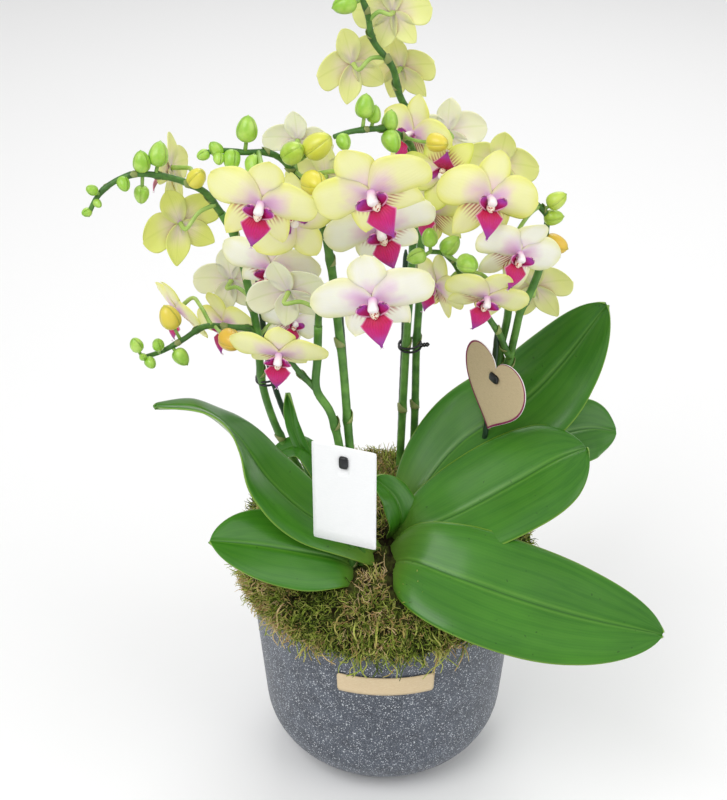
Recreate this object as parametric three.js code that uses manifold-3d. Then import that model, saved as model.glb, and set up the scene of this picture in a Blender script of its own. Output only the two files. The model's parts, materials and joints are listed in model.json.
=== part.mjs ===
// A potted moth orchid: a deep speckled pot with moss over the growing medium, broad leaves from
// low crowns, seven flower spikes tied to stakes, and two plain tags.
// Millimetres, +Z up. The origin is the centre of the pot's underside, and -Y is the front.

import * as THREE from 'three';
import { mergeVertices } from 'three/addons/utils/BufferGeometryUtils.js';
import Module from 'manifold-3d';

const wasm = await Module();
wasm.setup();

// ---- Driving dimensions ----

const GAP = 0.35;

const POT_HEIGHT = 180;
const POT_RIM_RADIUS = 110;
const POT_FOOT_RADIUS = 96.6;
const POT_EDGE_RADIUS = 53;
const POT_WALL = 5;
const POT_SIDES = 36;

const LABEL_WIDTH = 75;
const LABEL_HEIGHT = 18;
const LABEL_TOP = 146;
const LABEL_THICKNESS = 0.8;

const MEDIUM_TOP = 172;
const MOSS_RISE = 44;
const MOSS_OVERHANG = 9;
const MOSS_SKIRT = 10;
const MOSS_LUMP = 2.5;
const MOSS_SIDES = 22;
const ROOT_DEPTH = 120;

const LEAF_THICKNESS = 2.2;
const LEAF_STEPS = 9;
const STEM_RADIUS = 3.3;
const TIP_RADIUS = 2.5;
const PEDICEL_RADIUS = 1.5;
const BUD_PEDICEL_RADIUS = 1.1;
const STAKE_RADIUS = 2.4;
const STEM_SIDES = 5;
const STALK_SIDES = 4;
const STAKE_SIDES = 6;

const COMMON_FLOWER = 74;
const PETAL_THICKNESS = 1.6;
const BACK_DEPTH = 5;
const BUD_SLENDERNESS = 0.78;
const STALK_APPROACH = 10;
const STALK_ARCH = 4;

const CARD_WIDTH = 49;
const CARD_HEIGHT = 85;
const CARD_SLOT_DROP = 13;
const HEART_WIDTH = 74;
const TAG_THICKNESS = 1;
const CARD_CLIP_REACH = 12;
const HEART_CLIP_REACH = 9;
const TIE_RADIUS = 12;
const TIE_WIRE_RADIUS = 1.2;

// ---- Finishes ----

const finish = (colour, roughness) => ({ colour, roughness });
const POT_FINISH = finish(0x4f5660, 0.55);
const LABEL_FINISH = finish(0xdcc8a0, 0.5);
const MEDIUM_FINISH = finish(0x4a3524, 0.95);
const MOSS_FINISH = finish(0x6f7434, 1.0);
const LEAF_FINISH = finish(0x3f8a2c, 0.35);
const STEM_FINISH = finish(0x4d8a3a, 0.45);
const PETAL_FINISH = finish(0xeeee9c, 0.55);
const STAKE_FINISH = finish(0x1f4a2a, 0.5);
const TIE_FINISH = finish(0x16181c, 0.5);
const CARD_FINISH = finish(0xf6f8fa, 0.6);
const KRAFT_FINISH = finish(0xc3a986, 0.85);

// ---- Solids: closed meshes joined and cut ----

const MERGE_WITHIN = 1e-4;

function toSolid(geometry) {
  const bare = geometry.clone();
  bare.deleteAttribute('normal');
  bare.deleteAttribute('uv');
  const merged = mergeVertices(bare, MERGE_WITHIN);
  const vertProperties = new Float32Array(merged.attributes.position.array);
  const triVerts = new Uint32Array(merged.index.array);
  return new wasm.Manifold(new wasm.Mesh({ numProp: 3, vertProperties, triVerts }));
}

function toGeometry(solid) {
  const mesh = solid.getMesh();
  const geometry = new THREE.BufferGeometry();
  geometry.setAttribute('position', new THREE.BufferAttribute(new Float32Array(mesh.vertProperties), 3));
  geometry.setIndex(new THREE.BufferAttribute(new Uint32Array(mesh.triVerts), 1));
  geometry.computeVertexNormals();
  return geometry;
}

function joinAll(solids) {
  return solids.reduce((sum, next) => sum.add(next));
}

// Cuts the tools away and keeps the largest piece that is left.
function cutAway(solid, tools) {
  const left = tools.reduce((rest, tool) => rest.subtract(tool), solid);
  return left.decompose().reduce((a, b) => (a.volume() > b.volume() ? a : b));
}

const vector = ([x, y, z]) => new THREE.Vector3(x, y, z);
const curveThrough = (points) => new THREE.CatmullRomCurve3(points.map(vector), false, 'centripetal');

function polygon(radius, sides) {
  const corner = (_, i) => {
    const angle = (2 * Math.PI * i) / sides;
    return new THREE.Vector2(radius * Math.cos(angle), radius * Math.sin(angle));
  };
  return new THREE.Shape(Array.from({ length: sides }, corner));
}

function tube(curve, radius, sides, steps) {
  return new THREE.ExtrudeGeometry(polygon(radius, sides), { steps, extrudePath: curve });
}

function extrude(shape, depth) {
  return new THREE.ExtrudeGeometry(shape, { depth, bevelEnabled: false, curveSegments: 8 });
}

const asShape = (pairs) => new THREE.Shape(pairs.map(([x, y]) => new THREE.Vector2(x, y)));

// ---- Pot, label, growing medium and moss ----

const WALL_SLOPE = (POT_RIM_RADIUS - POT_FOOT_RADIUS) / POT_HEIGHT;
const WALL_ANGLE = Math.atan(WALL_SLOPE);
const wallRadius = (z) => POT_FOOT_RADIUS + WALL_SLOPE * z;

// Points of the rounded lower edge, from the flat underside up to the wall.
function edgeArc(inset, count) {
  const radius = POT_EDGE_RADIUS - inset;
  const centre = wallRadius(POT_EDGE_RADIUS) - POT_EDGE_RADIUS / Math.cos(WALL_ANGLE);
  const point = (_, i) => {
    const angle = -Math.PI / 2 + (Math.PI / 2 - WALL_ANGLE) * (i / count);
    return [centre + radius * Math.cos(angle), POT_EDGE_RADIUS + radius * Math.sin(angle)];
  };
  return Array.from({ length: count + 1 }, point);
}

function lathe(pairs, sides) {
  return new THREE.LatheGeometry(pairs.map(([r, z]) => new THREE.Vector2(r, z)), sides).rotateX(Math.PI / 2);
}

function potGeometry() {
  const lip = 1.5;
  const outside = [[0, 0], ...edgeArc(0, 5), [wallRadius(POT_HEIGHT - lip), POT_HEIGHT - lip]];
  const top = [[POT_RIM_RADIUS - lip, POT_HEIGHT], [POT_RIM_RADIUS - POT_WALL, POT_HEIGHT]];
  const inside = [...edgeArc(POT_WALL, 3).reverse(), [0, POT_WALL]];
  return lathe([...outside, ...top, ...inside], POT_SIDES);
}

function labelGeometry() {
  const middle = LABEL_TOP - LABEL_HEIGHT / 2;
  const inner = wallRadius(middle) + GAP;
  const outer = inner + LABEL_THICKNESS;
  const half = Math.asin(LABEL_WIDTH / 2 / inner);
  const plan = new THREE.Shape();
  plan.absarc(0, 0, outer, -Math.PI / 2 - half, -Math.PI / 2 + half, false);
  plan.absarc(0, 0, inner, -Math.PI / 2 + half, -Math.PI / 2 - half, true);
  const plate = extrude(plan, LABEL_HEIGHT);
  plate.translate(0, inner, -LABEL_HEIGHT / 2);
  plate.rotateX(WALL_ANGLE);
  return plate.translate(0, -inner, middle);
}

function mediumGeometry() {
  const inset = POT_WALL + GAP;
  const floor = POT_WALL + GAP;
  const top = [[wallRadius(MEDIUM_TOP) - inset, MEDIUM_TOP], [0, MEDIUM_TOP]];
  return lathe([[0, floor], ...edgeArc(inset, 3), ...top], POT_SIDES / 2);
}

// A low mound that swells over the rim and hangs a little way down the outside of the pot.
function mossGeometry() {
  const rim = POT_RIM_RADIUS;
  const over = POT_HEIGHT + GAP;
  const inner = rim - POT_WALL - 1;
  const profile = [
    [0, MEDIUM_TOP + GAP], [inner, MEDIUM_TOP + GAP], [inner, over],
    [rim + 1, over], [rim + 1, over - MOSS_SKIRT], [rim + 5, over - MOSS_SKIRT - 1],
    [rim + MOSS_OVERHANG, over + 4], [rim + 6, over + 20], [rim - 14, over + 0.8 * MOSS_RISE],
    [rim - 50, over + MOSS_RISE], [0, over + MOSS_RISE + 2],
  ];
  const geometry = lathe(profile, MOSS_SIDES);
  const place = geometry.attributes.position;
  for (let i = 0; i < place.count; i += 1) {
    const [x, y, z] = [place.getX(i), place.getY(i), place.getZ(i)];
    if (Math.hypot(x, y) > rim + 4 || z > over + 10) {
      const lump = Math.sin(x / 13 + 1) * Math.cos(y / 17) + 0.6 * Math.cos((x + y) / 11);
      place.setXYZ(i, x, y, z + MOSS_LUMP * lump);
    }
  }
  return geometry;
}

// ---- Leaves: a spine from the crown to the tip, the way the blade faces, and its widest width ----

const LEAVES = [
  { name: 'leaf_front_right', width: 88, fold: 0.1, face: [[-0.2, -0.5, 0.8], [0.1, -0.62, 0.78]],
    spine: [[-1, -54, 214], [18, -72, 232], [50, -88, 230], [97, -102, 220], [144, -114, 212],
      [202, -125, 205]] },
  { name: 'leaf_right', width: 84, fold: 0.12, face: [[-0.5, -0.4, 0.8], [-0.35, -0.62, 0.7]],
    spine: [[6, -38, 216], [26, -46, 240], [58, -38, 252], [103, -24, 272], [132, -13, 284],
      [155, -4, 289]] },
  { name: 'leaf_back_right', width: 82, fold: 0.1, face: [[-0.6, -0.6, 0.5], [-0.62, -0.7, 0.35]],
    spine: [[14, -16, 216], [30, 0, 248], [62, 20, 280], [112, 36, 308], [140, 44, 338], [171, 52, 384]] },
  { name: 'leaf_far_right', width: 64, fold: 0.1, face: [[-0.3, -0.5, 0.8], [-0.1, -0.6, 0.8]],
    spine: [[30, 14, 214], [62, 36, 232], [100, 56, 244], [148, 78, 248], [176, 87, 248], [198, 92, 242]] },
  { name: 'leaf_arching_left', width: 66, fold: 0.16, face: [[0.35, -0.4, 0.8], [-0.3, 0.3, 0.9]],
    spine: [[-4, -50, 216], [-24, -56, 240], [-60, -54, 262], [-88, -52, 292], [-112, -50, 332],
      [-135, -52, 354], [-166, -58, 360]] },
  { name: 'leaf_front_left', width: 60, fold: 0.14, face: [[0.2, -0.5, 0.85], [0.15, -0.55, 0.82]],
    spine: [[-18, -62, 212], [-36, -72, 232], [-62, -78, 244], [-97, -84, 256], [-129, -92, 266]] },
  { name: 'leaf_small_back_left', width: 22, fold: 0.15, face: [[0.3, -0.4, 0.8], [0, -0.5, 0.85]],
    spine: [[-30, -4, 216], [-44, 4, 246], [-66, 16, 276], [-88, 24, 266]] },
  { name: 'leaf_narrow_left', width: 12, fold: 0.2, face: [[-0.2, -0.9, 0.3], [-0.2, -0.95, 0.2]],
    spine: [[-46, 8, 216], [-58, 12, 256], [-71, 18, 290], [-76, 22, 322]] },
  { name: 'leaf_centre', width: 30, fold: 0.3, face: [[0.4, -0.6, 0.6], [0.5, -0.6, 0.6]],
    spine: [[4, -28, 216], [12, -32, 240], [8, -26, 256], [-8, -16, 268]] },
];

// Half the width along the blade: a narrow folded base, widest past the middle, a rounded tip.
function bladeShare(t) {
  const shoulder = Math.min(1, 0.17 + 1.55 * t);
  const beyond = Math.max(0, (t - 0.5) / 0.5);
  const end = Math.pow(Math.max(0, 1 - Math.pow(beyond, 2.6)), 0.62);
  return Math.sin((Math.PI / 2) * shoulder) * Math.max(end, 0.04);
}

function leafGeometry({ spine, face, width, fold }, grow) {
  const curve = curveThrough(spine);
  const geometry = new THREE.BoxGeometry(1, 2, 1, LEAF_STEPS, 2, 1);
  const place = geometry.attributes.position;
  const half = width / 2 + grow;
  const thickness = LEAF_THICKNESS + 2 * grow;
  const [faceStart, faceEnd] = face.map(vector);
  for (let i = 0; i < place.count; i += 1) {
    const along = place.getX(i) + 0.5;
    const side = place.getY(i);
    const tangent = curve.getTangent(along);
    const across = faceStart.clone().lerp(faceEnd, along).cross(tangent).normalize();
    const up = tangent.clone().cross(across);
    const reach = half * bladeShare(along);
    const point = curve.getPoint(along).addScaledVector(across, side * reach);
    point.addScaledVector(up, fold * reach * Math.abs(side) + place.getZ(i) * thickness);
    place.setXYZ(i, point.x, point.y, point.z);
  }
  return geometry;
}

// ---- Flowers ----

// One flower a millimetre wide, facing +Z with +Y up: five lobes, a column and a lip.
const LOBES = [
  { angle: 12, length: 0.5, half: 0.22 },
  { angle: 90, length: 0.44, half: 0.15 },
  { angle: 168, length: 0.5, half: 0.22 },
  { angle: 239, length: 0.44, half: 0.145 },
  { angle: 301, length: 0.44, half: 0.145 },
];
const LOBE_OUTLINE = [[0.45, -0.8], [0.93, -0.62], [0.93, 0.62], [0.45, 0.8]];
const LOBE_REFLEX = 0.3;
const COLUMN = { tip: 0.045, foot: 0.06, length: 0.16, ahead: 0.03 };
const LIP = { outline: [[0, 0.06], [-0.12, -0.1], [0, -0.28], [0.12, -0.1]], depth: 0.03, tilt: -0.55 };

function flowerSolid() {
  const corners = LOBES.flatMap(({ angle, length, half }) => LOBE_OUTLINE.map(([out, side]) => {
    const turn = THREE.MathUtils.degToRad(angle);
    return new THREE.Vector2(out * length, side * half).rotateAround(new THREE.Vector2(), turn);
  }));
  const depth = PETAL_THICKNESS / COMMON_FLOWER;
  const lobes = extrude(new THREE.Shape(corners), depth);
  const place = lobes.attributes.position;
  for (let i = 0; i < place.count; i += 1) {
    const out = Math.hypot(place.getX(i), place.getY(i));
    place.setZ(i, place.getZ(i) - LOBE_REFLEX * out * out);
  }
  const column = new THREE.CylinderGeometry(COLUMN.tip, COLUMN.foot, COLUMN.length, STEM_SIDES);
  column.rotateX(Math.PI / 2).translate(0, 0, COLUMN.ahead);
  const lip = extrude(asShape(LIP.outline), LIP.depth);
  lip.rotateX(LIP.tilt).translate(0, -0.02, COLUMN.ahead);
  return joinAll([lobes, column, lip].map(toSolid));
}

// The flower's axes in the row frame: `turn` is where it looks, to the right of the front and
// above the level, and how far it is rolled clockwise, all in degrees.
function flowerMatrix({ place, turn, width }) {
  const [aside, above, roll] = turn.map(THREE.MathUtils.degToRad);
  const level = Math.cos(above);
  const ahead = new THREE.Vector3(Math.sin(aside) * level, -Math.cos(aside) * level, Math.sin(above));
  const upright = new THREE.Vector3(0, 0, 1).addScaledVector(ahead, -ahead.z).normalize();
  const up = upright.applyAxisAngle(ahead, -roll);
  const right = up.clone().cross(ahead);
  const basis = new THREE.Matrix4().makeBasis(right, up, ahead);
  return basis.scale(new THREE.Vector3(width, width, width)).setPosition(vector(place));
}

// ---- Spikes: stems by the points they pass, their buds, and the flowers that they carry ----

const SPIKES = [
  { name: 'spike_left',
    stems: [
      { route: [[-46, 34, ROOT_DEPTH], [-53, 32, 200], [-61, 30, 225], [-73, 28, 256], [-85, 25, 286],
        [-95, 20, 331], [-97, 15, 382], [-102, 10, 423], [-108, 5, 461], [-117, 0, 484]],
      radius: STEM_RADIUS },
      { route: [[-117, 0, 484], [-127, -5, 502], [-140, -10, 512], [-154, -15, 518], [-173, -20, 522],
        [-190, -25, 515], [-198, -28, 508], [-205, -30, 496]], radius: TIP_RADIUS },
      { route: [[-97, 17, 374], [-102, 10, 386], [-115, 5, 390], [-133, -5, 396], [-149, -15, 391],
        [-165, -22, 384], [-177, -28, 383]], radius: TIP_RADIUS },
    ],
    buds: [
      { place: [-167, -18, 530], size: 15 }, { place: [-156, -12, 533], size: 16.5 },
      { place: [-179, -26, 517], size: 11 }, { place: [-169, -18, 506], size: 13 },
      { place: [-131, -12, 516], size: 16 }, { place: [-205, -32, 499], size: 8 },
      { place: [-200, -31, 515], size: 9 }, { place: [-180, -32, 396], size: 12 },
      { place: [-171, -32, 381], size: 10 }, { place: [-150, -22, 380], size: 14 },
      { place: [-157, -16, 410], size: 19 }, { place: [-113, -24, 395], size: 20 },
      { place: [-197, -31, 505], size: 7 }, { place: [-165, -28, 394], size: 11 },
      { place: [-176, -32, 386], size: 7 },
    ],
    flowers: [
      { place: [-147, 0, 477], turn: [205, -5, 20], width: 62 },
      { place: [-154, 18, 511], turn: [-105, -5, -15], width: 56 },
      { place: [-117, 46, 409], turn: [170, 0, 10], width: 60 },
      { place: [-82, -30, 456], turn: [-10, -25, 10], width: 74 },
      { place: [-70, 24, 384], turn: [20, 0, 30], width: 52 },
      { place: [-157, 22, 395], turn: [-52, -25, 5], width: 66 },
      { place: [-124, 34, 377], turn: [-35, -15, -15], width: 60 },
    ] },
  { name: 'spike_front',
    stems: [
      { route: [[-20, -60, ROOT_DEPTH], [-24, -64, 200], [-30, -65, 290], [-36, -66, 341], [-41, -67, 362],
        [-50, -66, 379], [-49, -66, 404], [-48, -66, 430]], radius: STEM_RADIUS },
      { route: [[-48, -66, 430], [-43, -70, 450], [-30, -80, 464], [-20, -86, 470]], radius: TIP_RADIUS },
      { route: [[-50, -66, 379], [-60, -68, 392], [-68, -70, 406]], radius: TIP_RADIUS },
    ],
    buds: [],
    flowers: [
      { place: [-11, -106, 470], turn: [2, -18, -13], width: 82 },
      { place: [-68, -52, 450], turn: [170, 10, 20], width: 60 },
      { place: [-74, -90, 421], turn: [-6, -34, 6], width: 68 },
    ] },
  { name: 'spike_centre',
    stems: [
      { route: [[-12, -58, ROOT_DEPTH], [-16, -60, 200], [-24, -60, 289], [-28, -58, 339], [-31, -56, 387],
        [-35, -54, 428], [-38, -52, 461], [-42, -50, 489]], radius: STEM_RADIUS },
      { route: [[-42, -50, 489], [-47, -50, 512], [-57, -51, 531], [-68, -54, 544], [-79, -57, 551],
        [-90, -60, 554], [-105, -64, 556], [-118, -68, 555]], radius: TIP_RADIUS },
    ],
    buds: [
      { place: [-91, -60, 569], size: 17 }, { place: [-111, -66, 558], size: 11 },
      { place: [-101, -68, 551], size: 14 }, { place: [-87, -68, 547], size: 15 },
      { place: [-62, -62, 554], size: 18.5 }, { place: [-46, -60, 558], size: 21 },
      { place: [-48, -82, 541], size: 20 }, { place: [-119, -69, 555], size: 9 },
      { place: [-109, -70, 553], size: 9 },
    ],
    flowers: [
      { place: [-81, -105, 537], turn: [-8, -22, 14], width: 74 },
      { place: [-63, -70, 510], turn: [10, 10, 150], width: 66 },
      { place: [-61, -10, 543], turn: [170, 10, 0], width: 50 },
      { place: [-42, -22, 522], turn: [165, 0, 10], width: 56 },
      { place: [-12, -116, 549], turn: [6, -20, -32], width: 80 },
      { place: [-6, -64, 501], turn: [10, -20, -20], width: 76 },
    ] },
  { name: 'spike_back_arching',
    stems: [
      { route: [[8, 56, ROOT_DEPTH], [12, 56, 200], [15, 54, 296], [17, 50, 363], [19, 45, 409],
        [20, 40, 447], [22, 32, 484], [22, 24, 511]], radius: STEM_RADIUS },
      { route: [[22, 24, 511], [17, 14, 527], [9, 5, 539], [-1, -5, 548], [-12, -15, 552],
        [-25, -25, 554], [-36, -32, 553]], radius: TIP_RADIUS },
    ],
    buds: [
      { place: [-16, -18, 569], size: 16 }, { place: [-10, -14, 562], size: 12 },
      { place: [1, -2, 553], size: 14 }, { place: [2, -12, 542], size: 16 },
      { place: [-30, -34, 550], size: 12 }, { place: [33, -14, 542], size: 16 },
    ],
    flowers: [
      { place: [37, -10, 518], turn: [-8, 12, 192], width: 60 },
      { place: [30, 8, 482], turn: [-35, -5, -25], width: 62 },
    ] },
  { name: 'spike_back_tall',
    stems: [
      { route: [[22, 64, ROOT_DEPTH], [24, 62, 200], [25, 61, 293], [25, 60, 345], [27, 62, 401],
        [26, 62, 444], [22, 60, 484], [18, 60, 515], [12, 58, 543]], radius: STEM_RADIUS },
      { route: [[12, 58, 543], [5, 56, 565], [-3, 55, 580], [-11, 54, 595], [-17, 53, 616], [-21, 52, 634],
        [-26, 51, 650], [-32, 50, 662]], radius: TIP_RADIUS },
    ],
    buds: [
      { place: [-30, 50, 617], size: 17 }, { place: [-12, 51, 634], size: 16 },
      { place: [-33, 50, 644], size: 13 }, { place: [-24, 50, 665], size: 10 },
      { place: [-36, 49, 669], size: 8 },
    ],
    flowers: [
      { place: [-25, 68, 570], turn: [200, 0, 20], width: 60 },
      { place: [11, 84, 562], turn: [155, 10, 10], width: 58 },
      { place: [4, 66, 607], turn: [165, -10, 10], width: 58 },
      { place: [18, 42, 527], turn: [-40, 0, 8], width: 62 },
      { place: [45, 80, 515], turn: [190, 0, 0], width: 60 },
    ] },
  { name: 'spike_right',
    stems: [
      { route: [[70, 38, ROOT_DEPTH], [77, 37, 200], [82, 35, 233], [88, 30, 283], [94, 26, 318],
        [95, 22, 352], [98, 18, 381], [100, 15, 398], [106, 12, 416], [110, 9, 432], [113, 5, 453]],
      radius: STEM_RADIUS },
      { route: [[113, 5, 453], [113, 2, 470], [111, 0, 482], [104, -3, 493], [98, -5, 504]],
        radius: TIP_RADIUS },
      { route: [[95, 21, 355], [92, 16, 364], [84, 10, 381], [76, 5, 399], [64, -2, 425], [51, -8, 443],
        [39, -14, 460], [30, -18, 463]], radius: TIP_RADIUS },
    ],
    buds: [
      { place: [118, -2, 495], size: 15 }, { place: [117, 0, 481], size: 14 },
      { place: [99, -9, 500], size: 9 }, { place: [120, 0, 460], size: 18 },
      { place: [20, -22, 461], size: 14 }, { place: [55, -38, 463], size: 17 },
      { place: [29, -20, 475], size: 14 }, { place: [44, -14, 466], size: 16 },
    ],
    flowers: [
      { place: [90, -36, 470], turn: [8, -18, 26], width: 68 },
      { place: [112, 34, 410], turn: [170, 5, 10], width: 60 },
      { place: [69, -38, 437], turn: [-4, -32, 28], width: 66 },
      { place: [35, -6, 430], turn: [-52, -8, 8], width: 56 },
    ] },
  { name: 'spike_right_back',
    stems: [
      { route: [[62, 34, ROOT_DEPTH], [70, 32, 200], [76, 30, 237], [82, 26, 286], [86, 28, 327],
        [88, 25, 361], [91, 18, 393], [89, 8, 421], [84, 2, 452], [78, -5, 474]], radius: STEM_RADIUS },
      { route: [[78, -5, 474], [72, -6, 486], [64, -4, 496]], radius: TIP_RADIUS },
    ],
    buds: [],
    flowers: [
      { place: [68, -36, 511], turn: [8, -5, 12], width: 74 },
      { place: [80, 34, 508], turn: [170, 5, -10], width: 60 },
    ] },
];

// The point of the nearest stem where a stalk to `place` starts.
function nearestOnStems(stems, place) {
  const divisions = 40;
  const candidates = stems.flatMap(({ route }) => curveThrough(route).getSpacedPoints(divisions));
  return candidates.reduce((best, next) => (next.distanceTo(place) < best.distanceTo(place) ? next : best));
}

function budSolids(stems, { place, size }) {
  const centre = vector(place);
  const root = nearestOnStems(stems, centre);
  const out = centre.clone().sub(root).normalize();
  const egg = new THREE.SphereGeometry(size / 2, 5, 3).scale(BUD_SLENDERNESS, 1, BUD_SLENDERNESS);
  egg.applyQuaternion(new THREE.Quaternion().setFromUnitVectors(new THREE.Vector3(0, 1, 0), out));
  egg.translate(centre.x, centre.y, centre.z);
  const stalk = tube(new THREE.LineCurve3(root, centre), BUD_PEDICEL_RADIUS, STALK_SIDES, 1);
  return [egg, stalk].map(toSolid);
}

// A stalk that leaves the stem and comes up square to the back of the flower, just clear of it.
function pedicelSolid(stems, flower) {
  const matrix = flowerMatrix(flower);
  const ahead = new THREE.Vector3().setFromMatrixColumn(matrix, 2).normalize();
  const end = vector(flower.place).addScaledVector(ahead, -BACK_DEPTH);
  const approach = end.clone().addScaledVector(ahead, -STALK_APPROACH);
  const root = nearestOnStems(stems, approach);
  const bend = root.clone().lerp(approach, 0.55).add(new THREE.Vector3(0, 0, STALK_ARCH));
  const curve = new THREE.CatmullRomCurve3([root, bend, approach, end], false, 'centripetal');
  return toSolid(tube(curve, PEDICEL_RADIUS, STALK_SIDES, 4));
}

function stemSolids(stems, grow) {
  const solid = ({ route, radius }) => {
    return toSolid(tube(curveThrough(route), radius + grow, STEM_SIDES, route.length + 2));
  };
  return stems.map(solid);
}

function spikeSolid({ stems, buds, flowers }) {
  const stalks = flowers.map((flower) => pedicelSolid(stems, flower));
  return joinAll([...stemSolids(stems, 0), ...stalks, ...buds.flatMap((bud) => budSolids(stems, bud))]);
}

// ---- Stakes, ties and tags ----

const STAKES = [
  { name: 'stake_left', route: [[-46, 44, ROOT_DEPTH], [-59, 40, 225], [-88, 31, 330], [-96, 24, 425]] },
  { name: 'stake_front', route: [[-14, -47, ROOT_DEPTH], [-18, -49, 200], [-27, -48, 330], [-35, -42, 452]] },
  { name: 'stake_back',
    route: [[10, 64, ROOT_DEPTH], [12, 64, 200], [14, 62, 300], [15, 58, 363], [15, 54, 430]] },
  { name: 'stake_right', route: [[74, 21, ROOT_DEPTH], [77, 19, 250], [82, 15, 340], [84, 15, 386]] },
];

const stakeGeometry = ({ route }, grow) => tube(curveThrough(route), STAKE_RADIUS + grow, STAKE_SIDES, 4);

// A ring of wire around a stem and its stake, clear of both.
const TIES = [
  { name: 'tie_left', centre: [-91.5, 25.5, 333], lean: -0.1 },
  { name: 'tie_back', centre: [19.5, 56, 345], lean: 0.1 },
];

function tieGeometry({ centre, lean }) {
  return new THREE.TorusGeometry(TIE_RADIUS, TIE_WIRE_RADIUS, 5, 16).rotateX(lean).translate(...centre);
}

// Turns a flat tag, drawn in X and Z and facing -Y, about its own upright and into place.
function hang(geometry, { place, aside, roll }) {
  geometry.rotateY(THREE.MathUtils.degToRad(roll));
  geometry.rotateZ(THREE.MathUtils.degToRad(aside));
  return geometry.translate(...place);
}

const CARD = { place: [-31, -88, 332], aside: -20, roll: 0 };
const HEART = { place: [81.5, -3, 351], aside: -57, roll: 6 };
const SLOT = { width: 7, height: 4 };

function slotHole(across, up) {
  const [a, b] = [across / 2, up / 2];
  return asShape([[-a, -b], [a, -b], [a, b], [-a, b]]);
}

// The card hangs from a slot near its top edge; the slot's middle is the card's own origin.
function cardGeometry() {
  const [a, low] = [CARD_WIDTH / 2, CARD_SLOT_DROP - CARD_HEIGHT];
  const plan = asShape([[-a, low], [a, low], [a, CARD_SLOT_DROP], [-a, CARD_SLOT_DROP]]);
  plan.holes.push(slotHole(SLOT.height + 1, SLOT.width + 1));
  return hang(extrude(plan, TAG_THICKNESS).rotateX(Math.PI / 2), CARD);
}

// A heart of two round lobes and two straight-ish flanks that meet in a point.
function heartGeometry() {
  const w = HEART_WIDTH / 2;
  const plan = new THREE.Shape();
  plan.moveTo(0, 0.22 * w);
  plan.bezierCurveTo(0.1 * w, 0.62 * w, 0.95 * w, 0.75 * w, w, 0.05 * w);
  plan.bezierCurveTo(w, -0.6 * w, 0.35 * w, -0.9 * w, 0, -1.32 * w);
  plan.bezierCurveTo(-0.35 * w, -0.9 * w, -w, -0.6 * w, -w, 0.05 * w);
  plan.bezierCurveTo(-0.95 * w, 0.75 * w, -0.1 * w, 0.62 * w, 0, 0.22 * w);
  plan.holes.push(slotHole(SLOT.width + 1, SLOT.height + 1));
  return hang(extrude(plan, TAG_THICKNESS).rotateX(Math.PI / 2), HEART);
}

// A peg through the tag's slot, with a head in front that is wider than the slot.
function clipGeometry(hung, across, up, reach) {
  const headDepth = 2;
  const start = -TAG_THICKNESS - GAP - headDepth / 2;
  const head = new THREE.BoxGeometry(across + 4, headDepth, up + 4).translate(0, start, 0);
  const shank = new THREE.BoxGeometry(across, reach, up).translate(0, reach / 2 + start, 0);
  return hang(toGeometry(toSolid(head).add(toSolid(shank))), hung);
}

// ---- Assembly ----

const plant = new THREE.Group();

function addPiece(name, geometry, { colour, roughness }) {
  const material = new THREE.MeshStandardMaterial({ color: colour, roughness, metalness: 0 });
  const mesh = new THREE.Mesh(geometry, material);
  mesh.name = name;
  plant.add(mesh);
  return mesh;
}

const stemRoom = SPIKES.flatMap(({ stems }) => stemSolids(stems, GAP));
const stakeRoom = STAKES.map((stake) => toSolid(stakeGeometry(stake, GAP)));

addPiece('pot', potGeometry(), POT_FINISH);
addPiece('pot_label', labelGeometry(), LABEL_FINISH);

const leafRoom = [];
for (const leaf of LEAVES) {
  const blade = cutAway(toSolid(leafGeometry(leaf, 0)), [...stemRoom, ...stakeRoom, ...leafRoom]);
  addPiece(leaf.name, toGeometry(blade), LEAF_FINISH);
  leafRoom.push(toSolid(leafGeometry(leaf, GAP)));
}

const rooted = [...stemRoom, ...stakeRoom, ...leafRoom];
addPiece('growing_medium', toGeometry(cutAway(toSolid(mediumGeometry()), rooted)), MEDIUM_FINISH);
addPiece('moss', toGeometry(cutAway(toSolid(mossGeometry()), rooted)), MOSS_FINISH);

const flowerGeometry = toGeometry(flowerSolid());
for (const spike of SPIKES) {
  addPiece(spike.name, toGeometry(spikeSolid(spike)), STEM_FINISH);
  spike.flowers.forEach((flower, index) => {
    const name = `${spike.name.replace('spike', 'flower')}_${index + 1}`;
    const mesh = addPiece(name, flowerGeometry, PETAL_FINISH);
    mesh.applyMatrix4(flowerMatrix(flower));
  });
}

for (const stake of STAKES) {
  addPiece(stake.name, stakeGeometry(stake, 0), STAKE_FINISH);
}
for (const tie of TIES) {
  addPiece(tie.name, tieGeometry(tie), TIE_FINISH);
}

addPiece('card', cardGeometry(), CARD_FINISH);
addPiece('card_clip', clipGeometry(CARD, SLOT.height, SLOT.width, CARD_CLIP_REACH), TIE_FINISH);
addPiece('heart_tag', heartGeometry(), KRAFT_FINISH);
addPiece('heart_clip', clipGeometry(HEART, SLOT.width, SLOT.height, HEART_CLIP_REACH), TIE_FINISH);

export default plant;
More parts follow.
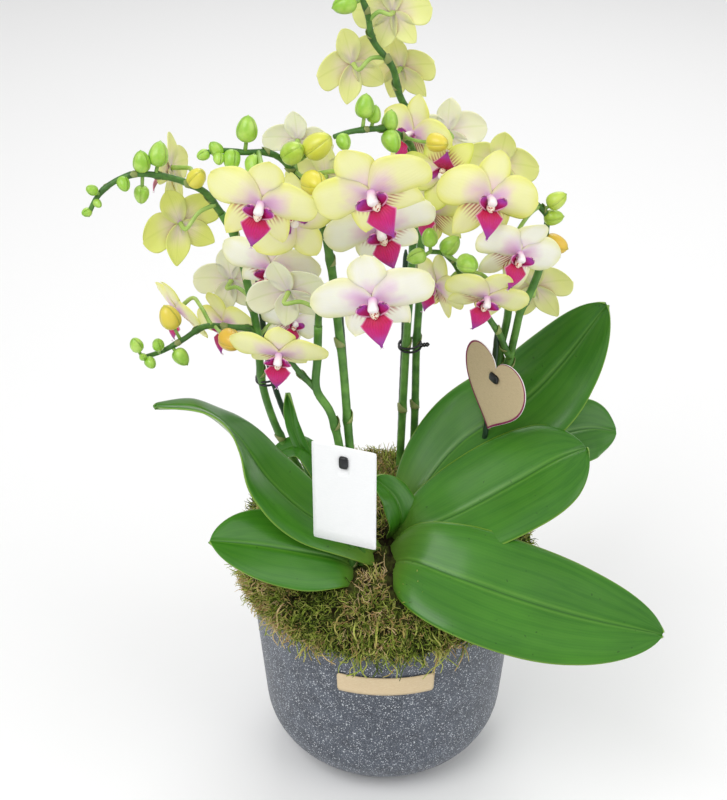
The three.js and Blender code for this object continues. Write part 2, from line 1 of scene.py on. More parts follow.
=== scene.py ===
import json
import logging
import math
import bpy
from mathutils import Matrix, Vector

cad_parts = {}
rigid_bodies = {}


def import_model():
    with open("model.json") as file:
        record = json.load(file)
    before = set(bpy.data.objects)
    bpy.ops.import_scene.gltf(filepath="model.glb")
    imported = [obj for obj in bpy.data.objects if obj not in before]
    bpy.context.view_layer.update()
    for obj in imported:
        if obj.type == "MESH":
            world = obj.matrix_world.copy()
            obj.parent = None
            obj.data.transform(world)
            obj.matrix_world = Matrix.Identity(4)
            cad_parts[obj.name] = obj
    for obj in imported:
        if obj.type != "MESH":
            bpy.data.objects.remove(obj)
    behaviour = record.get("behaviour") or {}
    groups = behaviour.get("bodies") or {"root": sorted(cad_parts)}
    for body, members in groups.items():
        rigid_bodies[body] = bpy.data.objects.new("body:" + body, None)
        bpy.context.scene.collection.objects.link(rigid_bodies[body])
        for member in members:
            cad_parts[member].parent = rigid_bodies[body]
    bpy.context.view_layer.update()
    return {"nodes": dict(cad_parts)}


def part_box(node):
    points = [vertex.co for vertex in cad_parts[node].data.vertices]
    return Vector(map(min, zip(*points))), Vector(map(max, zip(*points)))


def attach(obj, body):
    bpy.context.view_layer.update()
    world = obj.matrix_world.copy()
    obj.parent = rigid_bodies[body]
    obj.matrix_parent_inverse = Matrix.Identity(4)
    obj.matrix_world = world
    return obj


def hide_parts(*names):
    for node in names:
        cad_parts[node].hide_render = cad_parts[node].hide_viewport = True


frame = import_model()

# A potted moth orchid: a deep speckled pot with moss over its growing medium, broad leaves, seven
# flower spikes tied to stakes, and two plain tags. Metres, +Z up; the origin is the centre of the
# pot's underside and -Y is the front. Flowers, tags, pot and moss take their places from the
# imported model; stems and leaves follow routes given here.

import zlib
from dataclasses import dataclass, field
from enum import Enum

import bpy
import numpy as np
from mathutils import Vector

LOG = logging.getLogger("potted_orchid")
ROOT = "root"
Point = tuple[float, float, float]
Array = np.ndarray
Chance = np.random.Generator
Material = bpy.types.Material
Object = bpy.types.Object
Socket = bpy.types.NodeSocket
Painted = tuple[Socket, Socket, float]


# ---------------------------------------------------------------- routes and surfaces


def tone(code: str) -> tuple[float, float, float, float]:
    """A hex colour as the linear colour that a shader takes.

    Args:
        code: six hex digits, red first.

    Returns:
        Red, green, blue and an alpha of one.
    """
    parts = [int(code[i:i + 2], 16) / 255 for i in (0, 2, 4)]
    linear = [c / 12.92 if c <= 0.04045 else ((c + 0.055) / 1.055) ** 2.4 for c in parts]
    return (*linear, 1.0)


def seeded(name: str) -> Chance:
    """A random generator that always gives the same draws for a piece's name."""
    return np.random.default_rng(zlib.crc32(name.encode()))


def unit(vectors: Array) -> Array:
    """Vectors scaled to a length of one along their last axis."""
    length = np.linalg.norm(vectors, axis=-1, keepdims=True)
    return vectors / np.maximum(length, 1e-12)


def distance_along(line: Array) -> Array:
    """How far each point of a line is from its first, along the line."""
    return np.concatenate([[0], np.cumsum(np.linalg.norm(np.diff(line, axis=0), axis=1))])


class Route:
    """A smooth line through given points: a centripetal Catmull-Rom curve."""

    def __init__(self, points: tuple[Point, ...] | Array) -> None:
        """Keeps the points, with one mirrored past each end."""
        p = np.array(points, float)
        self.spans = len(p) - 1
        self.points = np.vstack([2 * p[0] - p[1], p, 2 * p[-1] - p[-2]])

    def at(self, share: Array) -> Array:
        """Points along the line, with equal shares from point to point.

        Args:
            share: from 0 at the first point to 1 at the last.

        Returns:
            One row of x, y and z for each share.
        """
        place = np.clip(np.atleast_1d(share), 0, 1) * self.spans
        index = np.minimum(place.astype(int), self.spans - 1)
        w = (place - index)[:, None]
        p0, p1, p2, p3 = (self.points[index + k] for k in range(4))
        d0, d1, d2 = (
            np.sqrt(np.maximum(np.linalg.norm(b - a, axis=1, keepdims=True), 1e-9))
            for a, b in ((p0, p1), (p1, p2), (p2, p3))
        )
        start = ((p1 - p0) / d0 - (p2 - p0) / (d0 + d1) + (p2 - p1) / d1) * d1
        end = ((p2 - p1) / d1 - (p3 - p1) / (d1 + d2) + (p3 - p2) / d2) * d1
        cubic = 2 * p1 - 2 * p2 + start + end
        square = -3 * p1 + 3 * p2 - 2 * start - end
        return p1 + w * (start + w * (square + w * cubic))

    def spaced(self, count: int) -> Array:
        """Points at equal distances along the line.

        Args:
            count: how many points.

        Returns:
            One row of x, y and z for each point.
        """
        dense = self.at(np.linspace(0, 1, 24 * self.spans + 1))
        run = distance_along(dense)
        wanted = np.linspace(0, run[-1], count)
        return np.stack([np.interp(wanted, run, dense[:, k]) for k in range(3)], axis=1)


def metres(places: tuple) -> Array:
    """Places that are given in millimetres, in metres."""
    return np.array(places) / 1000


def frames_along(line: Array) -> tuple[Array, Array, Array]:
    """Directions that follow a line without twisting about it.

    Args:
        line: points in order.

    Returns:
        The tangent and two directions square to it, one row for each point.
    """
    tangent = unit(np.gradient(line, axis=0))
    aside = np.empty_like(line)
    start = np.array([0, 0, 1.0]) if abs(tangent[0, 2]) < 0.9 else np.array([0, 1.0, 0])
    aside[0] = unit(np.cross(tangent[0], start))
    for i in range(1, len(line)):
        carried = aside[i - 1] - tangent[i] * (aside[i - 1] @ tangent[i])
        aside[i] = unit(carried)
    return tangent, aside, np.cross(tangent, aside)


def add_object(name: str, data: bpy.types.ID) -> Object:
    """A new object of the scene that holds a mesh, a camera or a light."""
    made = bpy.data.objects.new(name, data)
    bpy.context.scene.collection.objects.link(made)
    return made


def add_plain(name: str, points: list, faces: list) -> Object:
    """A new object of the scene made of points and faces alone."""
    mesh = bpy.data.meshes.new(name)
    mesh.from_pydata(points, [], faces)
    return add_object(name, mesh)


def grid_faces(rows: int, columns: int, wrap: bool = False) -> Array:
    """Quads between the points of a grid.

    Args:
        rows: points along the first way.
        columns: points along the second way.
        wrap: whether the last column joins the first.

    Returns:
        Four point numbers for each quad.
    """
    last = columns if wrap else columns - 1
    i, j = np.meshgrid(np.arange(rows - 1), np.arange(last), indexing="ij")
    after = (j + 1) % columns
    quads = [i * columns + j, (i + 1) * columns + j, (i + 1) * columns + after, i * columns + after]
    return np.stack(quads, axis=-1).reshape(-1, 4)


@dataclass
class Skin:
    """Closed parts gathered into one mesh, with pattern coordinates, masks and a finish for each."""

    masks: tuple[str, ...] = ()
    points: list[Array] = field(default_factory=list)
    faces: list[list[int]] = field(default_factory=list)
    coords: list[Array] = field(default_factory=list)
    values: dict[str, list[Array]] = field(default_factory=dict)
    finishes: list[int] = field(default_factory=list)
    count: int = 0

    def add(self, points: Array, faces: list, coords: Array, finish: int = 0,
            **masks: float | Array) -> None:
        """Adds one closed part, turned so that its faces point outwards.

        Args:
            points: one row of x, y and z for each point.
            faces: point numbers of each face.
            coords: one pattern coordinate pair for each point.
            finish: which of the piece's finishes the part takes.
            masks: a value, or one for each point, of any of the piece's masks.
        """
        if enclosed_volume(points, faces) < 0:
            faces = [list(reversed(face)) for face in faces]
        self.points.append(points)
        self.faces.extend([[int(i) + self.count for i in face] for face in faces])
        self.coords.append(coords)
        self.finishes.extend([finish] * len(faces))
        for name in self.masks:
            value = np.broadcast_to(np.asarray(masks.get(name, 0.0), float), (len(points),))
            self.values.setdefault(name, []).append(value)
        self.count += len(points)

    def add_rings(self, rings: Array, poles: Array, finish: int = 0,
                  share: Array | None = None, **masks: float | Array) -> None:
        """Adds one closed part made of rings. Each end runs to a pole, or is one flat face.

        Args:
            rings: a grid of points, ring by ring and then round each.
            poles: the first point and the last, or no points for flat ends.
            finish: which of the piece's finishes the part takes.
            share: how far along the part each ring is, evenly unless given.
            masks: a value, or one for each point, of any of the piece's masks.
        """
        rows, sides = rings.shape[:2]
        faces = grid_faces(rows, sides, wrap=True).tolist()
        first, last, low = rows * sides, rows * sides + 1, (rows - 1) * sides
        if len(poles):
            faces += [[first, j, (j + 1) % sides] for j in range(sides)]
            faces += [[last, low + (j + 1) % sides, low + j] for j in range(sides)]
        else:
            faces += [list(range(sides)), list(reversed(range(low, first)))]
        along = np.linspace(0, 1, rows) if share is None else share
        around = np.tile(np.arange(sides) / sides, rows)
        coords = np.stack([np.repeat(along, sides), around], axis=1)
        if len(poles):
            coords = np.vstack([coords, [[0, 0.5], [1, 0.5]]])
        self.add(np.vstack([rings.reshape(-1, 3), poles]), faces, coords, finish, **masks)

    def build(self, name: str, *materials: Material) -> Object:
        """Makes the object.

        Args:
            name: the piece's name.
            materials: its finishes, in the order of the parts' finish numbers.

        Returns:
            The finished object, at the origin.
        """
        mesh = bpy.data.meshes.new(name)
        mesh.from_pydata(np.vstack(self.points).tolist(), [], self.faces)
        loops = np.empty(len(mesh.loops), np.int32)
        mesh.loops.foreach_get("vertex_index", loops)
        pattern = mesh.uv_layers.new(name="pattern")
        pattern.data.foreach_set("uv", np.vstack(self.coords)[loops].astype(np.float32).ravel())
        for mask in self.masks:
            layer = mesh.attributes.new(mask, "FLOAT", "POINT")
            layer.data.foreach_set("value", np.concatenate(self.values[mask]).astype(np.float32))
        mesh.polygons.foreach_set("material_index", np.array(self.finishes, np.int32))
        mesh.polygons.foreach_set("use_smooth", np.ones(len(mesh.polygons), bool))
        for material in materials:
            mesh.materials.append(material)
        mesh.update()
        return add_object(name, mesh)


def enclosed_volume(points: Array, faces: list) -> float:
    """The signed volume inside a closed part, negative when its faces point inwards."""
    total = 0.0
    by_corners: dict[int, list] = {}
    for face in faces:
        by_corners.setdefault(len(face), []).append(face)
    for corners, group in by_corners.items():
        p = points[np.array(group)]
        for k in range(1, corners - 1):
            total += np.einsum("ij,ij->", p[:, 0], np.cross(p[:, k], p[:, k + 1]))
    return total


def add_blade(skin: Skin, front: Array, thickness: Array, finish: int = 0,
              **masks: float | Array) -> None:
    """Adds a thin closed blade: a front sheet, a back sheet behind it and the rim between them.

    Args:
        skin: where the blade goes.
        front: a grid of points, along and then across.
        thickness: how far the back lies behind each point of the front.
        finish: which of the piece's finishes the blade takes.
        masks: mask values for the whole blade. The mask called back is one behind.
    """
    rows, columns = front.shape[:2]
    normal = unit(np.cross(np.gradient(front, axis=0), np.gradient(front, axis=1)))
    behind = front - normal * thickness[..., None]
    size = rows * columns
    sheet = grid_faces(rows, columns)
    rim = [(i, 0) for i in range(rows)] + [(rows - 1, j) for j in range(1, columns)]
    rim += [(i, columns - 1) for i in range(rows - 2, -1, -1)]
    rim += [(0, j) for j in range(columns - 2, 0, -1)]
    edge = [i * columns + j for i, j in rim]
    following = edge[1:] + edge[:1]
    faces = sheet.tolist() + (sheet[:, ::-1] + size).tolist()
    faces += [[b, a, a + size, b + size] for a, b in zip(edge, following)]
    along, across = np.meshgrid(np.linspace(0, 1, rows), np.linspace(0, 1, columns), indexing="ij")
    coords = np.stack([along.ravel(), across.ravel()], axis=1)
    back = np.concatenate([np.zeros(size), np.ones(size)])
    points = np.vstack([front.reshape(-1, 3), behind.reshape(-1, 3)])
    skin.add(points, faces, np.vstack([coords, coords]), finish, **{"back": back, **masks})


def add_rod(skin: Skin, line: Array, radii: Array, sides: int, finish: int = 0,
            **masks: float | Array) -> None:
    """Adds a closed rod along a line, with a pole at each end unless it has only three sides.

    Args:
        skin: where the rod goes.
        line: its middle, point by point.
        radii: its radius at each point.
        sides: how many sides it has.
        finish: which of the piece's finishes the rod takes.
        masks: mask values for the whole rod, or one for each ring.
    """
    _, aside, other = frames_along(line)
    turn = np.linspace(0, 2 * math.pi, sides, endpoint=False)
    ring = np.cos(turn)[None, :, None] * aside[:, None] + np.sin(turn)[None, :, None] * other[:, None]
    rings = line[:, None] + ring * radii[:, None, None]
    run = distance_along(line)
    spread = {
        name: np.concatenate([np.repeat(value, sides), [value[0], value[-1]]])
        if isinstance(value, Array) else value
        for name, value in masks.items()
    }
    poles = line[[0, -1]] if sides > 3 else line[:0]
    skin.add_rings(rings, poles, finish, run / max(run[-1], 1e-9), **spread)


def add_lathe(skin: Skin, outline: Array, sides: int, finish: int = 0) -> None:
    """Adds a body turned about the upright through the origin.

    Args:
        skin: where the body goes.
        outline: radius and height from one pole to the other.
        sides: how many sides it has.
        finish: which of the piece's finishes it takes.
    """
    inner = outline[1:-1]
    turn = np.linspace(0, 2 * math.pi, sides, endpoint=False)
    circle = np.stack([np.cos(turn), np.sin(turn)], axis=1)
    rings = np.empty((len(inner), sides, 3))
    rings[..., :2] = inner[:, None, :1] * circle[None]
    rings[..., 2] = inner[:, 1:]
    skin.add_rings(rings, np.array([[0, 0, outline[0, 1]], [0, 0, outline[-1, 1]]]), finish)


def settle(piece: Object, slot: str, *nodes: str) -> Object:
    """Puts a finished piece on the model's body.

    Args:
        piece: the piece, in place.
        slot: not used.
        nodes: the plain solids that it stands for.

    Returns:
        The same piece.
    """
    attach(piece, ROOT)
    if nodes:
        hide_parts(*nodes)
    LOG.info("%s: %d faces", piece.name, len(piece.data.polygons))
    return piece


# ---------------------------------------------------------------- finishes


class Graph:
    """A node tree under construction."""

    def __init__(self, tree: bpy.types.NodeTree) -> None:
        """Keeps the tree that the nodes go in."""
        self.tree = tree

    def node(self, kind: str, feeds: dict | None = None, **settings: object) -> bpy.types.Node:
        """Adds a node.

        Args:
            kind: the node's type.
            feeds: a value or another node's output for each input, by name or number.
            settings: the node's own settings.

        Returns:
            The node.
        """
        made = self.tree.nodes.new(kind)
        for name, value in settings.items():
            setattr(made, name, value)
        for name, value in (feeds or {}).items():
            self.feed(made.inputs[name], value)
        return made

    def feed(self, socket: Socket, value: object) -> None:
        """Links an output to a socket, or sets the socket to a plain value."""
        if isinstance(value, Socket):
            self.tree.links.new(value, socket)
        else:
            socket.default_value = value

    def math(self, operation: str, a: object, b: object = 0.0, clamp: bool = False) -> Socket:
        """One arithmetic step.

        Args:
            operation: the step's name.
            a: the first number or output.
            b: the second number or output.
            clamp: whether the result is kept from 0 to 1.

        Returns:
            The result's output.
        """
        step = self.node("ShaderNodeMath", {0: a, 1: b}, operation=operation, use_clamp=clamp)
        return step.outputs[0]

    def span(self, value: object, low: float, high: float,
             to: tuple[float, float] = (0, 1)) -> Socket:
        """A smooth step of a value from one bound to the other.

        Args:
            value: the output that is read.
            low: where the step starts.
            high: where it ends.
            to: the results at the two ends.

        Returns:
            The result's output.
        """
        feeds = {"Value": value, "From Min": low, "From Max": high, "To Min": to[0], "To Max": to[1]}
        step = self.node("ShaderNodeMapRange", feeds, interpolation_type="SMOOTHSTEP")
        return step.outputs[0]

    def mix(self, share: object, a: object, b: object, blend: str = "MIX") -> Socket:
        """A blend of two colours.

        Args:
            share: how much of the second colour.
            a: the first colour.
            b: the second colour.
            blend: the way that they blend.

        Returns:
            The colour's output.
        """
        made = self.node("ShaderNodeMix", data_type="RGBA", blend_type=blend)
        for index, value in ((0, share), (6, a), (7, b)):
            self.feed(made.inputs[index], value)
        return made.outputs[2]

    def noise(self, scale: float, detail: float = 3.0, vector: object = None,
              distortion: float = 0.0) -> Socket:
        """Noise over the object's own coordinates, or over another vector.

        Args:
            scale: how fine it is.
            detail: how many finer layers it has.
            vector: what it is read over, when not the object's coordinates.
            distortion: how much it swirls.

        Returns:
            The noise value's output.
        """
        where = vector or self.node("ShaderNodeTexCoord").outputs["Object"]
        feeds = {"Vector": where, "Scale": scale, "Detail": detail, "Distortion": distortion}
        return self.node("ShaderNodeTexNoise", feeds).outputs["Fac"]

    def pattern(self) -> tuple[Socket, Socket]:
        """The piece's own pattern coordinates: along it and across it."""
        coords = self.node("ShaderNodeUVMap", uv_map="pattern").outputs[0]
        split = self.node("ShaderNodeSeparateXYZ", {0: coords})
        return split.outputs[0], split.outputs[1]

    def from_middle(self, across: Socket) -> Socket:
        """How far a point is from a blade's middle line: 0 there and 1 at its margins."""
        return self.math("ABSOLUTE", self.math("SUBTRACT", self.times(across, 2.0), 1.0))

    def times(self, a: object, b: object, clamp: bool = False) -> Socket:
        """The product of two numbers or outputs."""
        return self.math("MULTIPLY", a, b, clamp)

    def mask(self, name: str) -> Socket:
        """One of the piece's masks."""
        return self.node("ShaderNodeAttribute", attribute_name=name).outputs["Fac"]

    def group(self, tree: bpy.types.NodeTree, **feeds: object) -> Socket:
        """Places a shared effect and returns its first output.

        Args:
            tree: the shared effect.
            feeds: a value or output for each of its inputs, with _ for a space.

        Returns:
            The effect's output.
        """
        made = self.node("ShaderNodeGroup")
        made.node_tree = tree
        for name, value in feeds.items():
            self.feed(made.inputs[name.replace("_", " ")], value)
        return made.outputs[0]


def shared_effect(name: str, inputs: dict[str, float], output: str) -> tuple[Graph, dict, bpy.types.Node]:
    """Starts a shader node group.

    Args:
        name: the group's name.
        inputs: its number inputs and their first values.
        output: its one number output.

    Returns:
        The graph, its inputs' outputs by name, and the group's output node.
    """
    tree = bpy.data.node_groups.new(name, "ShaderNodeTree")
    for label, value in inputs.items():
        tree.interface.new_socket(label, in_out="INPUT", socket_type="NodeSocketFloat").default_value = value
    tree.interface.new_socket(output, in_out="OUTPUT", socket_type="NodeSocketFloat")
    graph = Graph(tree)
    entry, leave = graph.node("NodeGroupInput"), graph.node("NodeGroupOutput")
    return graph, {label: entry.outputs[label] for label in inputs}, leave


def make_mottle() -> bpy.types.NodeTree:
    """Uneven patches: how much of a second tone shows at a point."""
    graph, given, leave = shared_effect("mottle", {"Scale": 60.0, "Low": 0.4, "High": 0.65}, "Mask")
    where = graph.node("ShaderNodeTexCoord").outputs["Object"]
    patches = graph.node("ShaderNodeTexNoise", {"Vector": where, "Scale": given["Scale"], "Detail": 4.0})
    feeds = {"Value": patches.outputs["Fac"], "From Min": given["Low"], "From Max": given["High"]}
    step = graph.node("ShaderNodeMapRange", feeds, interpolation_type="SMOOTHSTEP")
    graph.feed(leave.inputs["Mask"], step.outputs[0])
    return graph.tree


def make_vein_lines() -> bpy.types.NodeTree:
    """Thin lines that run along a blade, a little unsteady, from its pattern coordinates."""
    first = {"Count": 20.0, "Wander": 0.4, "Thinness": 6.0}
    graph, given, leave = shared_effect("vein_lines", first, "Lines")
    along, across = graph.pattern()
    wide = graph.times(across, 9.0)
    where = graph.node("ShaderNodeCombineXYZ", {0: graph.times(along, 3.0), 1: wide}).outputs[0]
    drift = graph.times(graph.noise(1.0, 2.0, where), given["Wander"])
    place = graph.math("ADD", graph.times(across, given["Count"]), drift)
    wave = graph.math("ABSOLUTE", graph.math("SINE", graph.times(place, math.pi)))
    graph.feed(leave.inputs["Lines"], graph.math("POWER", wave, given["Thinness"]))
    return graph.tree


MOTTLE = make_mottle()
VEIN_LINES = make_vein_lines()


@dataclass(frozen=True)
class Gloss:
    """How a surface shines and how far light goes into it."""

    roughness: float = 0.5
    specular: float = 0.5
    coat: float = 0.0
    coat_roughness: float = 0.2
    depth_share: float = 0.0
    depth: float = 0.003
    depth_tint: tuple[float, float, float] = (1.0, 0.9, 0.5)


class Finish:
    """A material: its constants, and the colour and relief that it is painted with."""

    name: str
    gloss: Gloss

    def paint(self, graph: Graph) -> Painted:
        """Paints the surface.

        Args:
            graph: the material's nodes.

        Returns:
            The colour's output, the relief's height output and the relief's size in metres.
        """
        raise NotImplementedError

    def make(self) -> Material:
        """Makes the material.

        Returns:
            The material.
        """
        material = bpy.data.materials.new(self.name)
        material.use_nodes = True
        graph = Graph(material.node_tree)
        shader = next(n for n in material.node_tree.nodes if n.type == "BSDF_PRINCIPLED")
        gloss = self.gloss
        constants = {
            "Roughness": gloss.roughness, "Specular IOR Level": gloss.specular,
            "Coat Weight": gloss.coat, "Coat Roughness": gloss.coat_roughness,
            "Subsurface Weight": gloss.depth_share, "Subsurface Scale": gloss.depth,
            "Subsurface Radius": gloss.depth_tint,
        }
        for label, value in constants.items():
            shader.inputs[label].default_value = value
        colour, height, size = self.paint(graph)
        graph.feed(shader.inputs["Base Color"], colour)
        bump = graph.node("ShaderNodeBump", {"Height": height, "Distance": size, "Strength": 1.0})
        graph.feed(shader.inputs["Normal"], bump.outputs[0])
        return material


@dataclass(frozen=True)
class PetalFinish(Finish):
    """A petal: a soft body, a yellower margin, a lilac throat and brown-red stripes at the base."""

    name: str
    body: str
    margin: str
    throat: str = "E6B4DE"
    stripe: str = "AC5450"
    behind: str = "E6EA98"
    behind_throat: str = "EAD2CC"
    gloss: Gloss = Gloss(roughness=0.5, specular=0.3, depth_share=0.35, depth=0.0035)

    def paint(self, graph: Graph) -> Painted:
        """Colours the petal.

        Args:
            graph: the material's nodes.

        Returns:
            The colour, the relief's height and its size.
        """
        along, across = graph.pattern()
        aside = graph.from_middle(across)
        soft = graph.noise(70.0, 2.0)
        rim = graph.math("MAXIMUM", graph.span(aside, 0.45, 1.0), graph.span(along, 0.55, 1.0))
        colour = graph.mix(graph.times(rim, graph.span(soft, 0.2, 0.7, (0.55, 1.0))),
                           tone(self.body), tone(self.margin))
        lines = graph.group(VEIN_LINES, Count=13.0, Wander=1.2, Thinness=10.0)
        fine = graph.times(lines, 0.04)
        colour = graph.mix(fine, colour, tone(self.margin), "MULTIPLY")
        centred = graph.span(aside, 0.15, 0.95, (1.0, 0.25))
        uneven = graph.span(soft, 0.3, 0.7, (-0.05, 0.07))
        reach = graph.span(graph.math("ADD", along, uneven), 0.05, 0.44, (1.0, 0.0))
        flush = graph.times(graph.times(reach, centred), graph.mask("flush"), True)
        colour = graph.mix(flush, colour, tone(self.throat))
        streaks = graph.group(VEIN_LINES, Count=9.0, Wander=0.9, Thinness=2.2)
        near = graph.times(graph.span(along, 0.05, 0.16), graph.span(along, 0.24, 0.46, (1.0, 0.0)))
        striped = graph.times(graph.times(streaks, near), graph.mask("stripes"), True)
        colour = graph.mix(striped, colour, tone(self.stripe))
        warm = graph.times(graph.span(along, 0.02, 0.55, (0.9, 0.0)), centred)
        under = graph.mix(warm, tone(self.behind), tone(self.behind_throat))
        keel = graph.span(aside, 0.0, 0.12, (0.2, 0.0))
        under = graph.mix(keel, under, tone("B8C850"))
        colour = graph.mix(graph.mask("back"), colour, under)
        return colour, graph.math("ADD", graph.times(lines, -0.15), soft), 0.00025


@dataclass(frozen=True)
class LipFinish(Finish):
    """The lip: crimson at its base, magenta to purple at its tip, with a thin pale edge."""

    name: str = "lip_crimson"
    base: str = "BE0E44"
    middle: str = "C41E76"
    tip: str = "B446B4"
    edge: str = "F0B4D6"
    behind: str = "D98BAE"
    gloss: Gloss = Gloss(roughness=0.42, specular=0.35, depth_share=0.12, depth=0.002,
                         depth_tint=(1.0, 0.3, 0.5))

    def paint(self, graph: Graph) -> Painted:
        """Colours the lip.

        Args:
            graph: the material's nodes.

        Returns:
            The colour, the relief's height and its size.
        """
        along, across = graph.pattern()
        aside = graph.from_middle(across)
        soft = graph.noise(160.0, 2.0)
        far = graph.math("ADD", along, graph.span(soft, 0.3, 0.7, (-0.08, 0.08)))
        colour = graph.mix(graph.span(far, 0.0, 0.45), tone(self.base), tone(self.middle))
        colour = graph.mix(graph.span(far, 0.4, 0.92), colour, tone(self.tip))
        lines = graph.group(VEIN_LINES, Count=11.0, Wander=0.8, Thinness=5.0)
        colour = graph.mix(graph.times(lines, 0.12), colour, tone("7E0830"))
        colour = graph.mix(graph.span(aside, 0.86, 1.0, (0.0, 0.75)), colour, tone(self.edge))
        colour = graph.mix(graph.mask("back"), colour, tone(self.behind))
        return colour, lines, 0.0002


@dataclass(frozen=True)
class ColumnFinish(Finish):
    """The column and the callus below it: white going to lilac, with fine red marks at the base."""

    name: str = "column_white"
    gloss: Gloss = Gloss(roughness=0.38, specular=0.4, depth_share=0.3, depth=0.002,
                         depth_tint=(1, 0.7, 0.8))

    def paint(self, graph: Graph) -> Painted:
        """Colours the column.

        Args:
            graph: the material's nodes.

        Returns:
            The colour, the relief's height and its size.
        """
        along, _ = graph.pattern()
        colour = graph.mix(graph.span(along, 0.1, 0.85), tone("D9A6D2"), tone("FBF3F2"))
        spots = graph.span(graph.noise(900.0, 1.0), 0.55, 0.62)
        marked = graph.times(spots, graph.mask("marks"), True)
        colour = graph.mix(graph.mask("marks"), colour, tone("F3E2CC"))
        colour = graph.mix(marked, colour, tone("B43A32"))
        return colour, spots, 0.0001


@dataclass(frozen=True)
class LeafFinish(Finish):
    """A leaf: deep green, with painted shade in the midrib groove and painted highlights beside it, thin
    light edges, fine lengthwise lines and a waxy shine.
    """

    name: str = "leaf_green"
    deep: str = "2F6A14"
    fresh: str = "40801C"
    edge: str = "9CBF3C"
    under: str = "7FA25A"
    gloss: Gloss = Gloss(roughness=0.34, specular=0.3, coat=0.22, coat_roughness=0.2,
                         depth_share=0.06, depth=0.003, depth_tint=(0.5, 1.0, 0.2))

    def paint(self, graph: Graph) -> Painted:
        """Colours the leaf.

        Args:
            graph: the material's nodes.

        Returns:
            The colour, the relief's height and its size.
        """
        along, across = graph.pattern()
        aside = graph.from_middle(across)
        patches = graph.group(MOTTLE, Scale=11.0, Low=0.3, High=0.75)
        colour = graph.mix(patches, tone(self.deep), tone(self.fresh))
        lines = graph.group(VEIN_LINES, Count=38.0, Wander=1.6, Thinness=3.0)
        colour = graph.mix(graph.times(lines, 0.14), colour, tone("1F5210"))
        streaks = graph.group(VEIN_LINES, Count=8.0, Wander=2.6, Thinness=1.5)
        colour = graph.mix(graph.times(streaks, 0.16), colour, tone("5C9A2C"))
        # Painted shade: the midrib groove darkened, with a painted highlight on the strips beside it.
        groove_shade = graph.span(aside, 0.0, 0.022, (1.0, 0.0))
        colour = graph.mix(graph.times(groove_shade, 0.55), colour, tone("1C4A10"))
        groove_highlight = graph.times(graph.span(aside, 0.02, 0.05), graph.span(aside, 0.05, 0.1, (1.0, 0.0)))
        colour = graph.mix(graph.times(groove_highlight, 0.3), colour, tone("6FA23C"))
        colour = graph.mix(graph.span(aside, 0.965, 1.0, (0.0, 0.5)), colour, tone(self.edge))
        # Painted reflection: the blade paler towards its base, as if the pale surroundings shone on it.
        colour = graph.mix(graph.span(along, 0.0, 0.2, (0.55, 0.0)), colour, tone("86A548"))
        specks = graph.times(graph.span(graph.noise(260.0, 1.0), 0.74, 0.78), 0.5)
        colour = graph.mix(specks, colour, tone("183A0C"))
        colour = graph.mix(graph.times(graph.mask("back"), 0.8), colour, tone(self.under))
        height = graph.math("ADD", graph.times(lines, 0.03), graph.noise(30.0, 1.0))
        return colour, height, 0.0005


@dataclass(frozen=True)
class StemFinish(Finish):
    """A stem or a stalk: green, duller and browner where it is old, with fine lengthwise marks."""

    name: str = "stem_green"
    gloss: Gloss = Gloss(roughness=0.42, specular=0.4, depth_share=0.08, depth=0.002,
                         depth_tint=(0.6, 1, 0.3))

    def paint(self, graph: Graph) -> Painted:
        """Colours the stem.

        Args:
            graph: the material's nodes.

        Returns:
            The colour, the relief's height and its size.
        """
        patches = graph.group(MOTTLE, Scale=90.0, Low=0.35, High=0.7)
        stem = graph.mix(patches, tone("477A2C"), tone("6BA042"))
        stalk = graph.mix(patches, tone("9CC05A"), tone("BFD67C"))
        colour = graph.mix(graph.mask("young"), stem, stalk)
        dark = graph.times(graph.mask("aged"), graph.span(graph.noise(240.0, 3.0), 0.3, 0.6, (1, 0.5)))
        colour = graph.mix(dark, colour, tone("36592A"))
        colour = graph.mix(graph.mask("dry"), colour, tone("B7A679"))
        return colour, graph.noise(500.0, 3.0), 0.0002


@dataclass(frozen=True)
class BudFinish(Finish):
    """A bud: fresh green to ripe yellow, with three darker seams and a fine waxy grain."""

    name: str = "bud_green"
    gloss: Gloss = Gloss(roughness=0.34, specular=0.5, coat=0.15, depth_share=0.25, depth=0.002,
                         depth_tint=(0.8, 1.0, 0.3))

    def paint(self, graph: Graph) -> Painted:
        """Colours the bud.

        Args:
            graph: the material's nodes.

        Returns:
            The colour, the relief's height and its size.
        """
        along, around = graph.pattern()
        ripe = graph.mask("ripe")
        patches = graph.group(MOTTLE, Scale=130.0, Low=0.35, High=0.7)
        green = graph.mix(patches, tone("93C53C"), tone("B9DC68"))
        colour = graph.mix(graph.span(ripe, 0.1, 0.75), green, tone("E3DC55"))
        colour = graph.mix(graph.span(ripe, 0.75, 1.0, (0.0, 0.8)), colour, tone("E2AF3A"))
        seam = graph.math("ABSOLUTE", graph.math("SINE", graph.times(around, 3 * math.pi)))
        line = graph.span(seam, 0.0, 0.16, (0.5, 0.0))
        colour = graph.mix(line, colour, tone("7C9A2C"))
        colour = graph.mix(graph.span(along, 0.82, 1.0, (0.0, 0.35)), colour, tone("6E9A2E"))
        return colour, graph.span(seam, 0.0, 0.25), 0.0005


